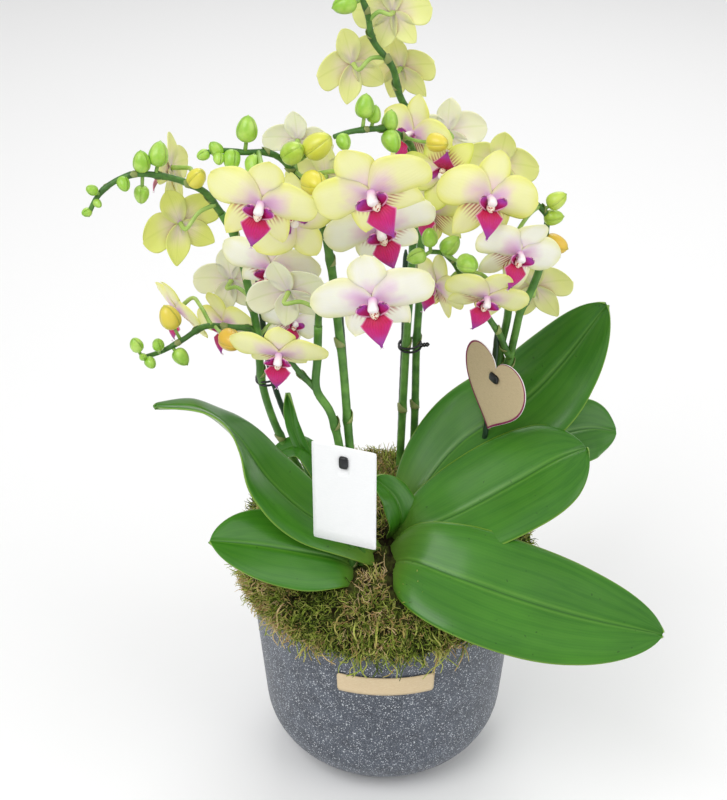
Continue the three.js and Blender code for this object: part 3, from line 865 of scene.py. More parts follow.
@dataclass(frozen=True)
class PotFinish(Finish):
    """The pot: dark slate stone with dense fine pale flecks."""

    name: str = "pot_slate"
    fleck: str = "D9DEE4"
    gloss: Gloss = Gloss(roughness=0.46, specular=0.45)

    def paint(self, graph: Graph) -> Painted:
        """Colours the pot.

        Args:
            graph: the material's nodes.

        Returns:
            The colour, the relief's height and its size.
        """
        where = graph.node("ShaderNodeTexCoord").outputs["Object"]
        cloud = graph.group(MOTTLE, Scale=70.0, Low=0.3, High=0.7)
        colour = graph.mix(cloud, tone("353B46"), tone("4A515D"))
        dust = graph.span(graph.noise(1500.0, 2.0), 0.52, 0.66, (0.0, 0.5))
        colour = graph.mix(dust, colour, tone("A4ABB5"))
        flecks = None
        for scale, reach in ((640.0, 0.2), (330.0, 0.13)):
            feeds = {"Vector": where, "Scale": scale, "Randomness": 1.0}
            cell = graph.node("ShaderNodeTexVoronoi", feeds)
            patch = graph.span(graph.noise(scale * 0.5, 1.0), 0.36, 0.6)
            spot = graph.span(cell.outputs["Distance"], reach, reach + 0.12, (1.0, 0.0))
            spot = graph.times(spot, patch)
            flecks = spot if flecks is None else graph.math("MAXIMUM", flecks, spot)
        colour = graph.mix(flecks, colour, tone(self.fleck))
        height = graph.math("ADD", graph.times(flecks, 0.4), graph.noise(700.0, 2.0))
        return colour, height, 0.0002


@dataclass(frozen=True)
class PaperFinish(Finish):
    """Paper or board: one tone with fibres and an uneven surface."""

    name: str
    tone_a: str
    tone_b: str
    fibre: float = 0.35
    gloss: Gloss = Gloss(roughness=0.6, specular=0.3)
    border: str = ""

    def paint(self, graph: Graph) -> Painted:
        """Colours the paper.

        Args:
            graph: the material's nodes.

        Returns:
            The colour, the relief's height and its size.
        """
        where = graph.node("ShaderNodeTexCoord").outputs["Object"]
        drawn = graph.node("ShaderNodeMapping", {"Vector": where, "Scale": (1.0, 1.0, 7.0)}).outputs[0]
        fibres = graph.span(graph.noise(420.0, 4.0, drawn, 0.6), 0.42, 0.66)
        colour = graph.mix(graph.times(fibres, self.fibre), tone(self.tone_a), tone(self.tone_b))
        if self.border:
            rim = graph.mask("rim")
            colour = graph.mix(graph.span(rim, 0.972, 0.98), colour, tone(self.border))
        return colour, fibres, 0.00006


@dataclass(frozen=True)
class MossFinish(Finish):
    """Moss strands: olive and bright green with dry tan ones among them."""

    name: str = "moss_strands"
    gloss: Gloss = Gloss(roughness=0.75, specular=0.2, depth_share=0.1, depth=0.002,
                         depth_tint=(0.8, 1, 0.3))

    def paint(self, graph: Graph) -> Painted:
        """Colours the strands.

        Args:
            graph: the material's nodes.

        Returns:
            The colour, the relief's height and its size.
        """
        hue = graph.mask("hue")
        drift = graph.span(graph.noise(16.0, 3.0), 0.3, 0.7, (-0.28, 0.28))
        place = graph.math("ADD", hue, drift, True)
        ramp = graph.node("ShaderNodeValToRGB", {"Fac": place})
        stops = ((0.0, "333E14"), (0.22, "637826"), (0.45, "95A640"), (0.62, "BDC168"),
                 (0.8, "A98A56"), (1.0, "D8BE90"))
        for index, (position, code) in enumerate(stops):
            stop = ramp.color_ramp.elements[index] if index < 2 else ramp.color_ramp.elements.new(position)
            stop.position, stop.color = position, tone(code)
        return ramp.outputs["Color"], graph.noise(900.0, 2.0), 0.0002


@dataclass(frozen=True)
class PatchedFinish(Finish):
    """Two tones in uneven patches over a grain; as it stands, slightly scuffed plastic."""

    name: str
    main: str
    patch: str
    gloss: Gloss = Gloss(roughness=0.4, specular=0.5)
    patches: tuple[float, float, float] = (300.0, 0.5, 0.75)
    grain: tuple[float, float, float] = (800.0, 2.0, 0.0001)

    def paint(self, graph: Graph) -> Painted:
        """Paints the patches, by their scale and bounds, and the grain, by its scale, detail and size.

        Args:
            graph: the material's nodes.

        Returns:
            The colour, the relief's height and its size.
        """
        scale, low, high = self.patches
        shown = graph.group(MOTTLE, Scale=scale, Low=low, High=high)
        colour = graph.mix(shown, tone(self.main), tone(self.patch))
        return colour, graph.noise(*self.grain[:2]), self.grain[2]


@dataclass(frozen=True)
class SoilFinish(PatchedFinish):
    """Bark, or the matted underside of moss: dark, rough and coarse."""

    gloss: Gloss = Gloss(roughness=0.95, specular=0.1)
    patches: tuple[float, float, float] = (110.0, 0.35, 0.65)
    grain: tuple[float, float, float] = (220.0, 5.0, 0.003)


# ---------------------------------------------------------------- flowers


class Mood(Enum):
    """The tone that a flower's petals have."""

    YELLOW = "yellow"
    CREAM = "cream"
    GREEN = "green"


PETAL_FINISHES = {
    Mood.YELLOW: PetalFinish("petal_yellow", body="F3F2B0", margin="E9E97C"),
    Mood.CREAM: PetalFinish("petal_cream", body="FBFAE6", margin="F1F0B4", behind="F3F4D2",
                            behind_throat="EEDCE2"),
    Mood.GREEN: PetalFinish("petal_green", body="E8EC90", margin="D6E05C", behind="DDE47A"),
}


@dataclass(frozen=True)
class Stance:
    """Where a flower is, which way it is turned and how wide it is, read from its plain solid."""

    centre: Array
    right: Array
    up: Array
    ahead: Array
    width: float

    # What the plain flower measures at a width of one: the span of its petals, the way the lip
    # leans its flattest axis, and its surface's centre above and ahead of the flower's own.
    SPAN = 0.966
    LEAN = math.radians(3.26)
    CENTRE_UP = -0.004
    CENTRE_AHEAD = -0.0097

    @classmethod
    def of_node(cls, node: Object) -> "Stance":
        """Measures a plain flower.

        Args:
            node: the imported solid.

        Returns:
            Its stance.
        """
        mesh = node.data
        mesh.calc_loop_triangles()
        points = np.array([v.co for v in mesh.vertices])
        corners = points[np.array([t.vertices[:] for t in mesh.loop_triangles])]
        first, second = corners[:, 1] - corners[:, 0], corners[:, 2] - corners[:, 0]
        areas = np.linalg.norm(np.cross(first, second), axis=1)
        share = areas / areas.sum()
        middle = share @ corners.mean(axis=1)
        offset = corners - middle
        means = offset.mean(axis=1)
        spread = np.einsum("n,nki,nkj->ij", share / 12, offset, offset)
        spread += np.einsum("n,ni,nj->ij", share * 9 / 12, means, means)
        axes = np.linalg.eigh(spread)[1]
        flat, tall = axes[:, 0], axes[:, 1]
        flat = flat * np.sign(share @ (means @ flat) ** 3)
        foremost = points[np.argmax(points @ flat)] - middle
        tall = tall * -np.sign(foremost @ tall)
        ahead = math.cos(cls.LEAN) * flat - math.sin(cls.LEAN) * tall
        up = math.sin(cls.LEAN) * flat + math.cos(cls.LEAN) * tall
        right = np.cross(up, ahead)
        width = np.ptp(points @ right) / cls.SPAN
        centre = middle - width * (cls.CENTRE_UP * up + cls.CENTRE_AHEAD * ahead)
        return cls(centre, right, up, ahead, width)

    def place(self, shape: Array) -> Array:
        """Moves a shape from the flower's own measure, a width of one, to where the flower is.

        Args:
            shape: points with x to the right, y up and z ahead.

        Returns:
            The same points in the model's frame.
        """
        return self.centre + self.width * (shape @ np.stack([self.right, self.up, self.ahead]))


@dataclass(frozen=True)
class Lobe:
    """One petal or sepal, in a flower that is one wide."""

    angle: float
    length: float
    half: float
    upper_peak: float
    lower_peak: float
    swell: float
    tip: float
    layer: float
    reflex: float
    hollow: float
    droop: float = 0.0
    flush: float = 1.0
    stripes: float = 0.0
    mirrored: bool = False
    rows: int = 24
    columns: int = 15

    ROOT = 0.16
    THICKNESS = 0.007

    def margin(self, along: Array, peak: float) -> Array:
        """Half the lobe's width on one side.

        Args:
            along: shares of its length.
            peak: where that side is widest.

        Returns:
            The distance from the middle line to the margin.
        """
        rise = np.sin(np.pi / 2 * np.clip(along / peak, 0, 1)) ** self.swell
        fall = np.cos(np.pi / 2 * np.clip((along - peak) / (1 - peak), 0, 1)) ** self.tip
        return self.half * (self.ROOT + (1 - self.ROOT) * rise) * fall

    def sheet(self, side: int, chance: Chance) -> Array:
        """The lobe's front surface.

        Args:
            side: one, or minus one for the mirrored lobe.
            chance: where its small differences come from.

        Returns:
            A grid of points, along and then across.
        """
        along = 0.996 * (1 - (1 - np.linspace(0, 1, self.rows)) ** 1.6)
        across = np.linspace(-1, 1, self.columns)
        t, v = np.meshgrid(along, across, indexing="ij")
        upper, lower = self.margin(t, self.upper_peak), self.margin(t, self.lower_peak)
        reach = np.where(v > 0, upper, lower) * v
        angle = math.radians(self.angle + chance.normal(0, 2.2))
        length = self.length * (1 + chance.normal(0, 0.02))
        bend, wave = chance.normal(0, 0.035), chance.uniform(0, 2 * math.pi)
        out = length * t
        x = out * math.cos(angle) - reach * math.sin(angle)
        y = out * math.sin(angle) + reach * math.cos(angle) - self.droop * t ** 2
        lift = self.layer + bend * t ** 2 - self.reflex * out ** 2
        lift -= self.hollow * self.half * np.abs(v) ** 2.2 * np.sin(np.pi * np.clip(t, 0, 1) ** 0.8)
        ripple = 0.013 * np.abs(v) ** 1.5 * np.sin(7.5 * t + wave + 1.2 * v) * np.clip(3 * t, 0, 1)
        return np.stack([side * x, y, lift + ripple], axis=-1)


LOBES = (
    Lobe(angle=90, length=0.46, half=0.155, upper_peak=0.55, lower_peak=0.55, swell=0.75, tip=0.6,
         layer=-0.022, reflex=0.12, hollow=0.22, flush=0.75),
    Lobe(angle=-58, length=0.47, half=0.15, upper_peak=0.42, lower_peak=0.5, swell=0.7, tip=0.72,
         layer=-0.026, reflex=0.16, hollow=0.2, flush=0.5, stripes=1.0, mirrored=True),
    Lobe(angle=12, length=0.5, half=0.225, upper_peak=0.5, lower_peak=0.66, swell=0.85, tip=0.5,
         layer=0.0, reflex=0.3, hollow=0.16, droop=0.05, mirrored=True, rows=28, columns=19),
)


@dataclass(frozen=True)
class Lip:
    """The lip: a kite-shaped blade that hangs forward, and an upright ear on each side of it."""

    length: float = 0.26
    half: float = 0.135
    widest: float = 0.3
    neck: float = 0.5
    drop: float = math.radians(62)
    fold: float = 0.3
    thickness: float = 0.012
    root: Point = (0.0, -0.075, 0.1)

    def blade(self, lean: float) -> Array:
        """The kite's front surface.

        Args:
            lean: an extra tilt of the blade, in radians.

        Returns:
            A grid of points, along and then across.
        """
        along = 1 - (1 - np.linspace(0, 1, 18)) ** 1.3
        t, v = np.meshgrid(along, np.linspace(-1, 1, 13), indexing="ij")
        rise = self.neck + (1 - self.neck) * np.clip(t / self.widest, 0, 1) ** 1.1
        fall = 1 - np.clip((t - self.widest) / (1 - self.widest), 0, 1) ** 1.05
        reach = self.half * np.minimum(rise, np.maximum(fall, 0.09))
        tilt = self.drop + lean
        out = self.length * t
        bow = 0.045 * np.sin(np.pi * t)
        y = self.root[1] - out * math.sin(tilt) + bow * math.cos(tilt)
        z = self.root[2] + out * math.cos(tilt) + bow * math.sin(tilt) - self.fold * reach * np.abs(v) ** 1.4
        return np.stack([reach * v, y, z], axis=-1)

    def ear(self, side: int) -> Array:
        """One side lobe's inner surface, cupped towards the column.

        Args:
            side: one for the right, minus one for the left.

        Returns:
            A grid of points, from its root up and then across.
        """
        t, v = np.meshgrid(np.linspace(0, 1, 12), np.linspace(-1, 1, 9), indexing="ij")
        reach = 0.066 * (0.35 + 0.65 * np.sin(np.pi / 2 * np.clip(t / 0.6, 0, 1)))
        reach = reach * np.cos(np.pi / 2 * np.clip((t - 0.6) / 0.4, 0, 1)) ** 0.5
        swing = 0.028 + 0.075 * np.sin(np.pi * 0.62 * t)
        x = side * (swing + 0.7 * reach * v - 0.018 * v ** 2)
        y = -0.085 + 0.15 * t + 0.15 * reach * v
        z = 0.08 + 0.03 * t - 0.012 * v ** 2 + 0.62 * reach * v
        return np.stack([x, y, z], axis=-1)

    def callus(self) -> Array:
        """The middle of the small crest between the ears."""
        return np.array([[0, -0.03, 0.05], [0, -0.045, 0.085], [0, -0.062, 0.115], [0, -0.08, 0.128]])

    def whisker(self, side: int) -> Array:
        """The middle of one of the two fine curls at the tip."""
        tip = self.blade(0.0)[-1, 6]
        curl = np.array([[0, 0, 0], [0.012, -0.012, 0.006], [0.018, -0.006, 0.016], [0.01, 0.004, 0.02]])
        return tip + curl * [side, 1, 1]


@dataclass
class Flower:
    """One flower: five lobes, a column with its cap, a callus and the lip."""

    node: str
    mood: Mood
    lip: Lip = field(default_factory=Lip)

    MASKS = ("back", "flush", "stripes", "marks")
    PETALS, LIP, COLUMN = 0, 1, 2

    def build(self, materials: dict[Mood, Material], lip: Material,
              column: Material) -> None:
        """Makes the flower where its plain solid is.

        Args:
            materials: the petals' finishes.
            lip: the lip's finish.
            column: the column's finish.
        """
        stance = Stance.of_node(frame["nodes"][self.node])
        chance = seeded(self.node)
        skin = Skin(self.MASKS)
        for lobe in LOBES:
            for side in (1, -1) if lobe.mirrored else (1,):
                sheet = stance.place(lobe.sheet(side, chance))
                self.add_facing(skin, sheet, stance.ahead, Lobe.THICKNESS * stance.width, self.PETALS,
                                flush=lobe.flush, stripes=lobe.stripes)
        self.add_lip(skin, stance, chance)
        self.add_column(skin, stance)
        piece = skin.build(self.node.replace("flower", "bloom"), materials[self.mood], lip, column)
        settle(piece, "petal", self.node)

    @staticmethod
    def add_facing(skin: Skin, sheet: Array, way: Array, thickness: float, finish: int,
                   **masks: float) -> None:
        """Adds a blade with its front towards a direction."""
        normal = np.cross(np.gradient(sheet, axis=0), np.gradient(sheet, axis=1)).sum(axis=(0, 1))
        if normal @ way < 0:
            sheet = sheet[:, ::-1]
        add_blade(skin, sheet, np.full(sheet.shape[:2], thickness), finish, **masks)

    def add_lip(self, skin: Skin, stance: Stance, chance: Chance) -> None:
        """Adds the lip's blade, ears and whiskers."""
        blade = stance.place(self.lip.blade(chance.normal(0, 0.09)))
        thickness = self.lip.thickness * stance.width
        self.add_facing(skin, blade, stance.ahead, thickness, self.LIP)
        for side in (1, -1):
            ear = stance.place(self.lip.ear(side))
            self.add_facing(skin, ear, stance.right * -side, thickness, self.LIP)
            curl = Route(stance.place(self.lip.whisker(side))).spaced(7)
            add_rod(skin, curl, np.linspace(0.0045, 0.0015, 7) * stance.width, 4, self.COLUMN, marks=0.0)

    def add_column(self, skin: Skin, stance: Stance) -> None:
        """Adds the column, its round cap and the callus."""
        line = np.array([[0, 0.004, -0.035], [0, 0.012, 0.03], [0, 0.012, 0.08], [0, -0.004, 0.125]])
        radii = np.array([0.03, 0.036, 0.036, 0.04, 0.044, 0.043, 0.034, 0.012])
        share = np.array([0.0, 0.2, 0.4, 0.6, 0.78, 0.9, 0.97, 1.0])
        add_rod(skin, stance.place(Route(line).at(share)), radii * stance.width, 12, self.COLUMN, marks=0.0)
        crest = Route(stance.place(self.lip.callus())).spaced(6)
        bulge = np.array([0.024, 0.034, 0.041, 0.039, 0.03, 0.012]) * stance.width
        add_rod(skin, crest, bulge, 8, self.COLUMN, marks=1.0)


FLOWER_MOODS = {
    "flower_front_1": Mood.CREAM, "flower_front_2": Mood.CREAM, "flower_left_3": Mood.CREAM,
    "flower_left_4": Mood.CREAM, "flower_left_5": Mood.CREAM, "flower_right_1": Mood.CREAM,
    "flower_back_tall_5": Mood.CREAM, "flower_centre_3": Mood.CREAM, "flower_centre_6": Mood.CREAM,
    "flower_back_arching_1": Mood.GREEN, "flower_left_1": Mood.GREEN,
}


# ---------------------------------------------------------------- leaves


@dataclass(frozen=True)
class LeafPlan:
    """One leaf: its width and its middle's route in millimetres, its fold and how it faces."""

    node: str
    width: int
    fold: float
    faces: tuple[Point, Point]
    spine: tuple[Point, ...]

    THICKNESS = 0.0022
    ROWS = 84
    COLUMNS = 33

    def half_width(self, along: Array) -> Array:
        """Half the blade's width: a narrow folded base, widest past the middle, a blunt tip."""
        shoulder = np.minimum(1, 0.17 + 1.55 * along)
        beyond = np.maximum(0, (along - 0.5) / 0.5)
        end = np.maximum(0, 1 - beyond ** 2.6) ** 0.62
        return metres(self.width) / 2 * np.sin(np.pi / 2 * shoulder) * np.maximum(end, 0.02)

    def sheet(self, chance: Chance) -> tuple[Array, Array]:
        """The leaf's upper surface and how thick it is.

        Args:
            chance: where its small differences come from.

        Returns:
            A grid of points, along and then across, and the thickness at each.
        """
        along = 1 - (1 - np.linspace(0, 1, self.ROWS)) ** 1.7
        line = Route(metres(self.spine)).at(along)
        tangent = unit(np.gradient(line, axis=0))
        facing = np.array(self.faces[0]) + np.outer(along, np.array(self.faces[1]) - self.faces[0])
        across = unit(np.cross(facing, tangent))
        up = np.cross(tangent, across)
        t, v = np.meshgrid(along, np.linspace(-1, 1, self.COLUMNS), indexing="ij")
        reach = self.half_width(t)
        wave = chance.uniform(0, 2 * math.pi, 2)
        edge = np.abs(v)
        lift = self.fold * reach * (np.sqrt(v ** 2 + 0.012) - 0.1) - 0.1 * reach * edge ** 5
        lift += 0.0022 * edge ** 2 * np.sin(9 * t + wave[(v > 0).astype(int)]) * np.clip(4 * t, 0, 1)
        lift -= 0.0012 * np.exp(-(v * reach / 0.0016) ** 2)
        thickness = self.THICKNESS * (1 - 0.55 * edge ** 3)
        lift += self.THICKNESS / 2
        sheet = line[:, None] + across[:, None] * (v * reach)[..., None] + up[:, None] * lift[..., None]
        return sheet, thickness

    def build(self, material: Material) -> Object:
        """Makes the leaf.

        Args:
            material: its finish.

        Returns:
            The finished piece.
        """
        sheet, thickness = self.sheet(seeded(self.node))
        row, column = self.ROWS // 2, self.COLUMNS // 2
        middle = sheet[row, column]
        normal = np.cross(sheet[row + 1, column] - middle, sheet[row, column + 1] - middle)
        if normal @ np.array(self.faces[0]) < 0:
            sheet = sheet[:, ::-1]
        skin = Skin(("back",))
        add_blade(skin, sheet, thickness)
        return settle(skin.build(self.node.replace("leaf_", "blade_"), material), "leaf", self.node)


# ---------------------------------------------------------------- spikes


class Girth(Enum):
    """How thick a stem is, as its radius."""

    STEM = 0.0033
    TIP = 0.0026


@dataclass(frozen=True)
class StemPlan:
    """One stretch of a spike's stem, with its route in millimetres."""

    girth: Girth
    route: tuple[Point, ...]


@dataclass(frozen=True)
class BudPlan:
    """One bud: its middle and length in millimetres, and how ripe it is, from green to yellow at 1."""

    place: Point
    size: int
    ripe: float = 0.08


@dataclass(frozen=True)
class StakePlan:
    """One stake by the points it passes, in millimetres."""

    node: str
    route: tuple[Point, ...]


@dataclass(frozen=True)
class SpikePlan:
    """A flower spike: its stems and its buds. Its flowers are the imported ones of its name."""

    node: str
    stems: tuple[StemPlan, ...]
    buds: tuple[BudPlan, ...]

    STALK = 0.0015
    BUD_STALK = 0.0011
    BACK_DEPTH = 0.005
    APPROACH = 0.010
    ARCH = 0.004
    NODE_EVERY = 0.062
    MASKS = ("young", "aged", "dry", "ripe")
    STEM, BUD = 0, 1

    def build(self, stem: Material, bud: Material) -> None:
        """Makes the spike.

        Args:
            stem: the finish of the stems, stalks and bracts.
            bud: the buds' finish.
        """
        skin = Skin(self.MASKS)
        for part in self.stems:
            self.add_stem(skin, part)
        prefix = self.node.replace("spike", "flower")
        for name in sorted(frame["nodes"]):
            if name.rsplit("_", 1)[0] == prefix:
                self.add_stalk(skin, Stance.of_node(frame["nodes"][name]))
        for plan in self.buds:
            self.add_bud(skin, plan)
        settle(skin.build(self.node.replace("spike", "stem"), stem, bud), "stem", self.node)

    def add_stem(self, skin: Skin, part: StemPlan) -> None:
        """Adds a stretch of stem with a swelling and a dry bract at each joint."""
        line = Route(metres(part.route))
        length = np.linalg.norm(np.diff(line.spaced(40), axis=0), axis=1).sum()
        count = max(24, int(length / 0.004))
        points = line.spaced(count)
        run = np.linspace(0, length, count)
        every = self.NODE_EVERY if part.girth is Girth.STEM else self.NODE_EVERY / 3
        joints = np.arange(every * 0.7, length - 0.012, every)
        swelling = sum((np.exp(-((run - j) / 0.0035) ** 2) for j in joints), np.zeros(count))
        taper = 1 - 0.12 * run / length if part.girth is Girth.STEM else 1 - 0.35 * run / length
        radii = part.girth.value * taper * (1 + 0.22 * swelling)
        if part.girth is Girth.TIP:
            zigzag = 0.0012 * np.sin(np.pi * run / every)
            points = points + frames_along(points)[1] * zigzag[:, None]
        aged = np.clip(0.35 * swelling + (0.75 if part.girth is Girth.TIP else 0.25), 0, 1)
        add_rod(skin, points, radii, 14, self.STEM, aged=aged)
        for number, joint in enumerate(joints):
            self.add_bract(skin, points, radii, int(joint / length * (count - 1)), number)

    def add_bract(self, skin: Skin, points: Array, radii: Array, index: int, number: int) -> None:
        """Adds the small dry scale that wraps a joint and ends in a point on one side."""
        tangent, aside, other = frames_along(points)
        t, v = np.meshgrid(np.linspace(0, 1, 6), np.linspace(-1, 1, 9), indexing="ij")
        turn = math.pi * (number % 2) + 0.6 + v * 2.3 * (1 - t) ** 0.8
        radius = radii[index] * (1.1 + 0.25 * t * np.sin(np.pi * t))
        height = t * radii[index] * 2.4
        sheet = points[index] + tangent[index] * height[..., None]
        sheet = sheet + aside[index] * (radius * np.cos(turn))[..., None]
        sheet = sheet + other[index] * (radius * np.sin(turn))[..., None]
        add_blade(skin, sheet, np.full(t.shape, -0.0004), self.STEM, dry=0.45)

    def nearest(self, place: Array) -> Array:
        """The point of the stems that is nearest to a place."""
        candidates = np.vstack([Route(metres(part.route)).spaced(41) for part in self.stems])
        return candidates[np.argmin(np.linalg.norm(candidates - place, axis=1))]

    def add_stalk(self, skin: Skin, stance: Stance) -> None:
        """Adds a stalk that leaves the stem and comes up square to the back of a flower."""
        end = stance.centre - stance.ahead * self.BACK_DEPTH * 0.4
        approach = stance.centre - stance.ahead * (self.BACK_DEPTH + self.APPROACH)
        root = self.nearest(approach)
        bend = root + 0.55 * (approach - root) + [0, 0, self.ARCH]
        line = Route(np.array([root, bend, approach, end])).spaced(22)
        share = np.linspace(0, 1, 22)
        radii = self.STALK * (1 + 0.35 * np.exp(-(share / 0.08) ** 2) + 0.3 * share ** 6)
        add_rod(skin, line, radii, 10, self.STEM, young=np.clip(0.45 + 0.9 * share, 0, 1))

    def add_bud(self, skin: Skin, plan: BudPlan) -> None:
        """Adds a bud, egg-shaped with three shallow seams and a blunt point, on its own stalk."""
        centre, size = metres(plan.place), metres(plan.size)
        root = self.nearest(centre)
        ahead = unit(centre - root)
        stalk = Route(np.array([root, (root + centre) / 2 + [0, 0, -0.0012], centre])).spaced(8)
        thick = np.linspace(1.25, 1.0, 8) * self.BUD_STALK
        add_rod(skin, stalk, thick, 8, self.STEM, young=0.55, aged=0.0)
        rows, sides = 15, 24
        share = np.linspace(0, 1, rows + 2)[1:-1]
        height = -np.cos(np.pi * share) * size / 2
        girth = np.sin(np.pi * share) ** 0.85 * (1 + 0.2 * np.cos(np.pi * share))
        turn = np.linspace(0, 2 * math.pi, sides, endpoint=False)
        seam = 1 - 0.06 * np.exp(-(np.sin(1.5 * turn) / 0.16) ** 2)
        radius = size * 0.4 * girth[:, None] * seam
        start = np.array([0, 0, 1.0]) if abs(ahead[2]) < 0.9 else np.array([1.0, 0, 0])
        aside = unit(np.cross(ahead, start))
        other = np.cross(ahead, aside)
        rings = centre + ahead * height[:, None, None]
        rings = rings + aside * (radius * np.cos(turn))[..., None]
        rings = rings + other * (radius * np.sin(turn))[..., None]
        poles = np.array([centre - ahead * size / 2, centre + ahead * size * 0.56])
        skin.add_rings(rings, poles, self.BUD, share, ripe=plan.ripe)


SPIKES = (
    SpikePlan("spike_left", (
        StemPlan(Girth.STEM, (
            (-46, 34, 120), (-53, 32, 200), (-61, 30, 225), (-73, 28, 256), (-85, 25, 286),
            (-95, 20, 331), (-97, 15, 382), (-102, 10, 423), (-108, 5, 461), (-117, 0, 484))),
        StemPlan(Girth.TIP, (
            (-117, 0, 484), (-127, -5, 502), (-140, -10, 512), (-154, -15, 518), (-173, -20, 522),
            (-190, -25, 515), (-198, -28, 508), (-205, -30, 496))),
        StemPlan(Girth.TIP, (
            (-97, 17, 374), (-102, 10, 386), (-115, 5, 390), (-133, -5, 396), (-149, -15, 391),
            (-165, -22, 384), (-177, -28, 383))),
    ), (
        BudPlan((-167, -18, 530), 15), BudPlan((-156, -12, 533), 17), BudPlan((-179, -26, 517), 11),
        BudPlan((-169, -18, 506), 13), BudPlan((-131, -12, 516), 16, ripe=0.8),
        BudPlan((-205, -32, 499), 8), BudPlan((-200, -31, 515), 9), BudPlan((-180, -32, 396), 12),
        BudPlan((-171, -32, 381), 10), BudPlan((-150, -22, 380), 14),
        BudPlan((-157, -16, 410), 19, ripe=0.85), BudPlan((-113, -24, 395), 20, ripe=1),
        BudPlan((-197, -31, 505), 7), BudPlan((-165, -28, 394), 11), BudPlan((-176, -32, 386), 7),
    )),
    SpikePlan("spike_front", (
        StemPlan(Girth.STEM, (
            (-20, -60, 120), (-24, -64, 200), (-30, -65, 290), (-36, -66, 341), (-41, -67, 362),
            (-50, -66, 379), (-49, -66, 404), (-48, -66, 430))),
        StemPlan(Girth.TIP, (
            (-48, -66, 430), (-43, -70, 450), (-30, -80, 464), (-20, -86, 470))),
        StemPlan(Girth.TIP, (
            (-50, -66, 379), (-60, -68, 392), (-68, -70, 406))),
    ), ()),
    SpikePlan("spike_centre", (
        StemPlan(Girth.STEM, (
            (-12, -58, 120), (-16, -60, 200), (-24, -60, 289), (-28, -58, 339), (-31, -56, 387),
            (-35, -54, 428), (-38, -52, 461), (-42, -50, 489))),
        StemPlan(Girth.TIP, (
            (-42, -50, 489), (-47, -50, 512), (-57, -51, 531), (-68, -54, 544), (-79, -57, 551),
            (-90, -60, 554), (-105, -64, 556), (-118, -68, 555))),
    ), (
        BudPlan((-91, -60, 569), 17), BudPlan((-111, -66, 558), 11), BudPlan((-101, -68, 551), 14),
        BudPlan((-87, -68, 547), 15), BudPlan((-62, -62, 554), 18, ripe=0.3),
        BudPlan((-46, -60, 558), 21, ripe=0.55), BudPlan((-48, -82, 541), 20, ripe=0.8),
        BudPlan((-119, -69, 555), 9), BudPlan((-109, -70, 553), 9),
    )),
    SpikePlan("spike_back_arching", (
        StemPlan(Girth.STEM, (
            (8, 56, 120), (12, 56, 200), (15, 54, 296), (17, 50, 363), (19, 45, 409), (20, 40, 447),
            (22, 32, 484), (22, 24, 511))),
        StemPlan(Girth.TIP, (
            (22, 24, 511), (17, 14, 527), (9, 5, 539), (-1, -5, 548), (-12, -15, 552), (-25, -25, 554),
            (-36, -32, 553))),
    ), (
        BudPlan((-16, -18, 569), 16), BudPlan((-10, -14, 562), 12), BudPlan((1, -2, 553), 14),
        BudPlan((2, -12, 542), 16), BudPlan((-30, -34, 550), 12),
        BudPlan((33, -14, 542), 16, ripe=0.85),
    )),
    SpikePlan("spike_back_tall", (
        StemPlan(Girth.STEM, (
            (22, 64, 120), (24, 62, 200), (25, 61, 293), (25, 60, 345), (27, 62, 401), (26, 62, 444),
            (22, 60, 484), (18, 60, 515), (12, 58, 543))),
        StemPlan(Girth.TIP, (
            (12, 58, 543), (5, 56, 565), (-3, 55, 580), (-11, 54, 595), (-17, 53, 616), (-21, 52, 634),
            (-26, 51, 650), (-32, 50, 662))),
    ), (
        BudPlan((-30, 50, 617), 17), BudPlan((-12, 51, 634), 16), BudPlan((-33, 50, 644), 13),
        BudPlan((-24, 50, 665), 10), BudPlan((-36, 49, 669), 8),
    )),
    SpikePlan("spike_right", (
        StemPlan(Girth.STEM, (
            (70, 38, 120), (77, 37, 200), (82, 35, 233), (88, 30, 283), (94, 26, 318), (95, 22, 352),
            (98, 18, 381), (100, 15, 398), (106, 12, 416), (110, 9, 432), (113, 5, 453))),
        StemPlan(Girth.TIP, (
            (113, 5, 453), (113, 2, 470), (111, 0, 482), (104, -3, 493), (98, -5, 504))),
        StemPlan(Girth.TIP, (
            (95, 21, 355), (92, 16, 364), (84, 10, 381), (76, 5, 399), (64, -2, 425), (51, -8, 443),
            (39, -14, 460), (30, -18, 463))),
    ), (
        BudPlan((118, -2, 495), 15, ripe=0.35), BudPlan((117, 0, 481), 14, ripe=0.3),
        BudPlan((99, -9, 500), 9), BudPlan((120, 0, 460), 18, ripe=0.95), BudPlan((20, -22, 461), 14),
        BudPlan((55, -38, 463), 17), BudPlan((29, -20, 475), 14), BudPlan((44, -14, 466), 16),
    )),
    SpikePlan("spike_right_back", (
        StemPlan(Girth.STEM, (
            (62, 34, 120), (70, 32, 200), (76, 30, 237), (82, 26, 286), (86, 28, 327), (88, 25, 361),
            (91, 18, 393), (89, 8, 421), (84, 2, 452), (78, -5, 474))),
        StemPlan(Girth.TIP, (
            (78, -5, 474), (72, -6, 486), (64, -4, 496))),
    ), ()),
)

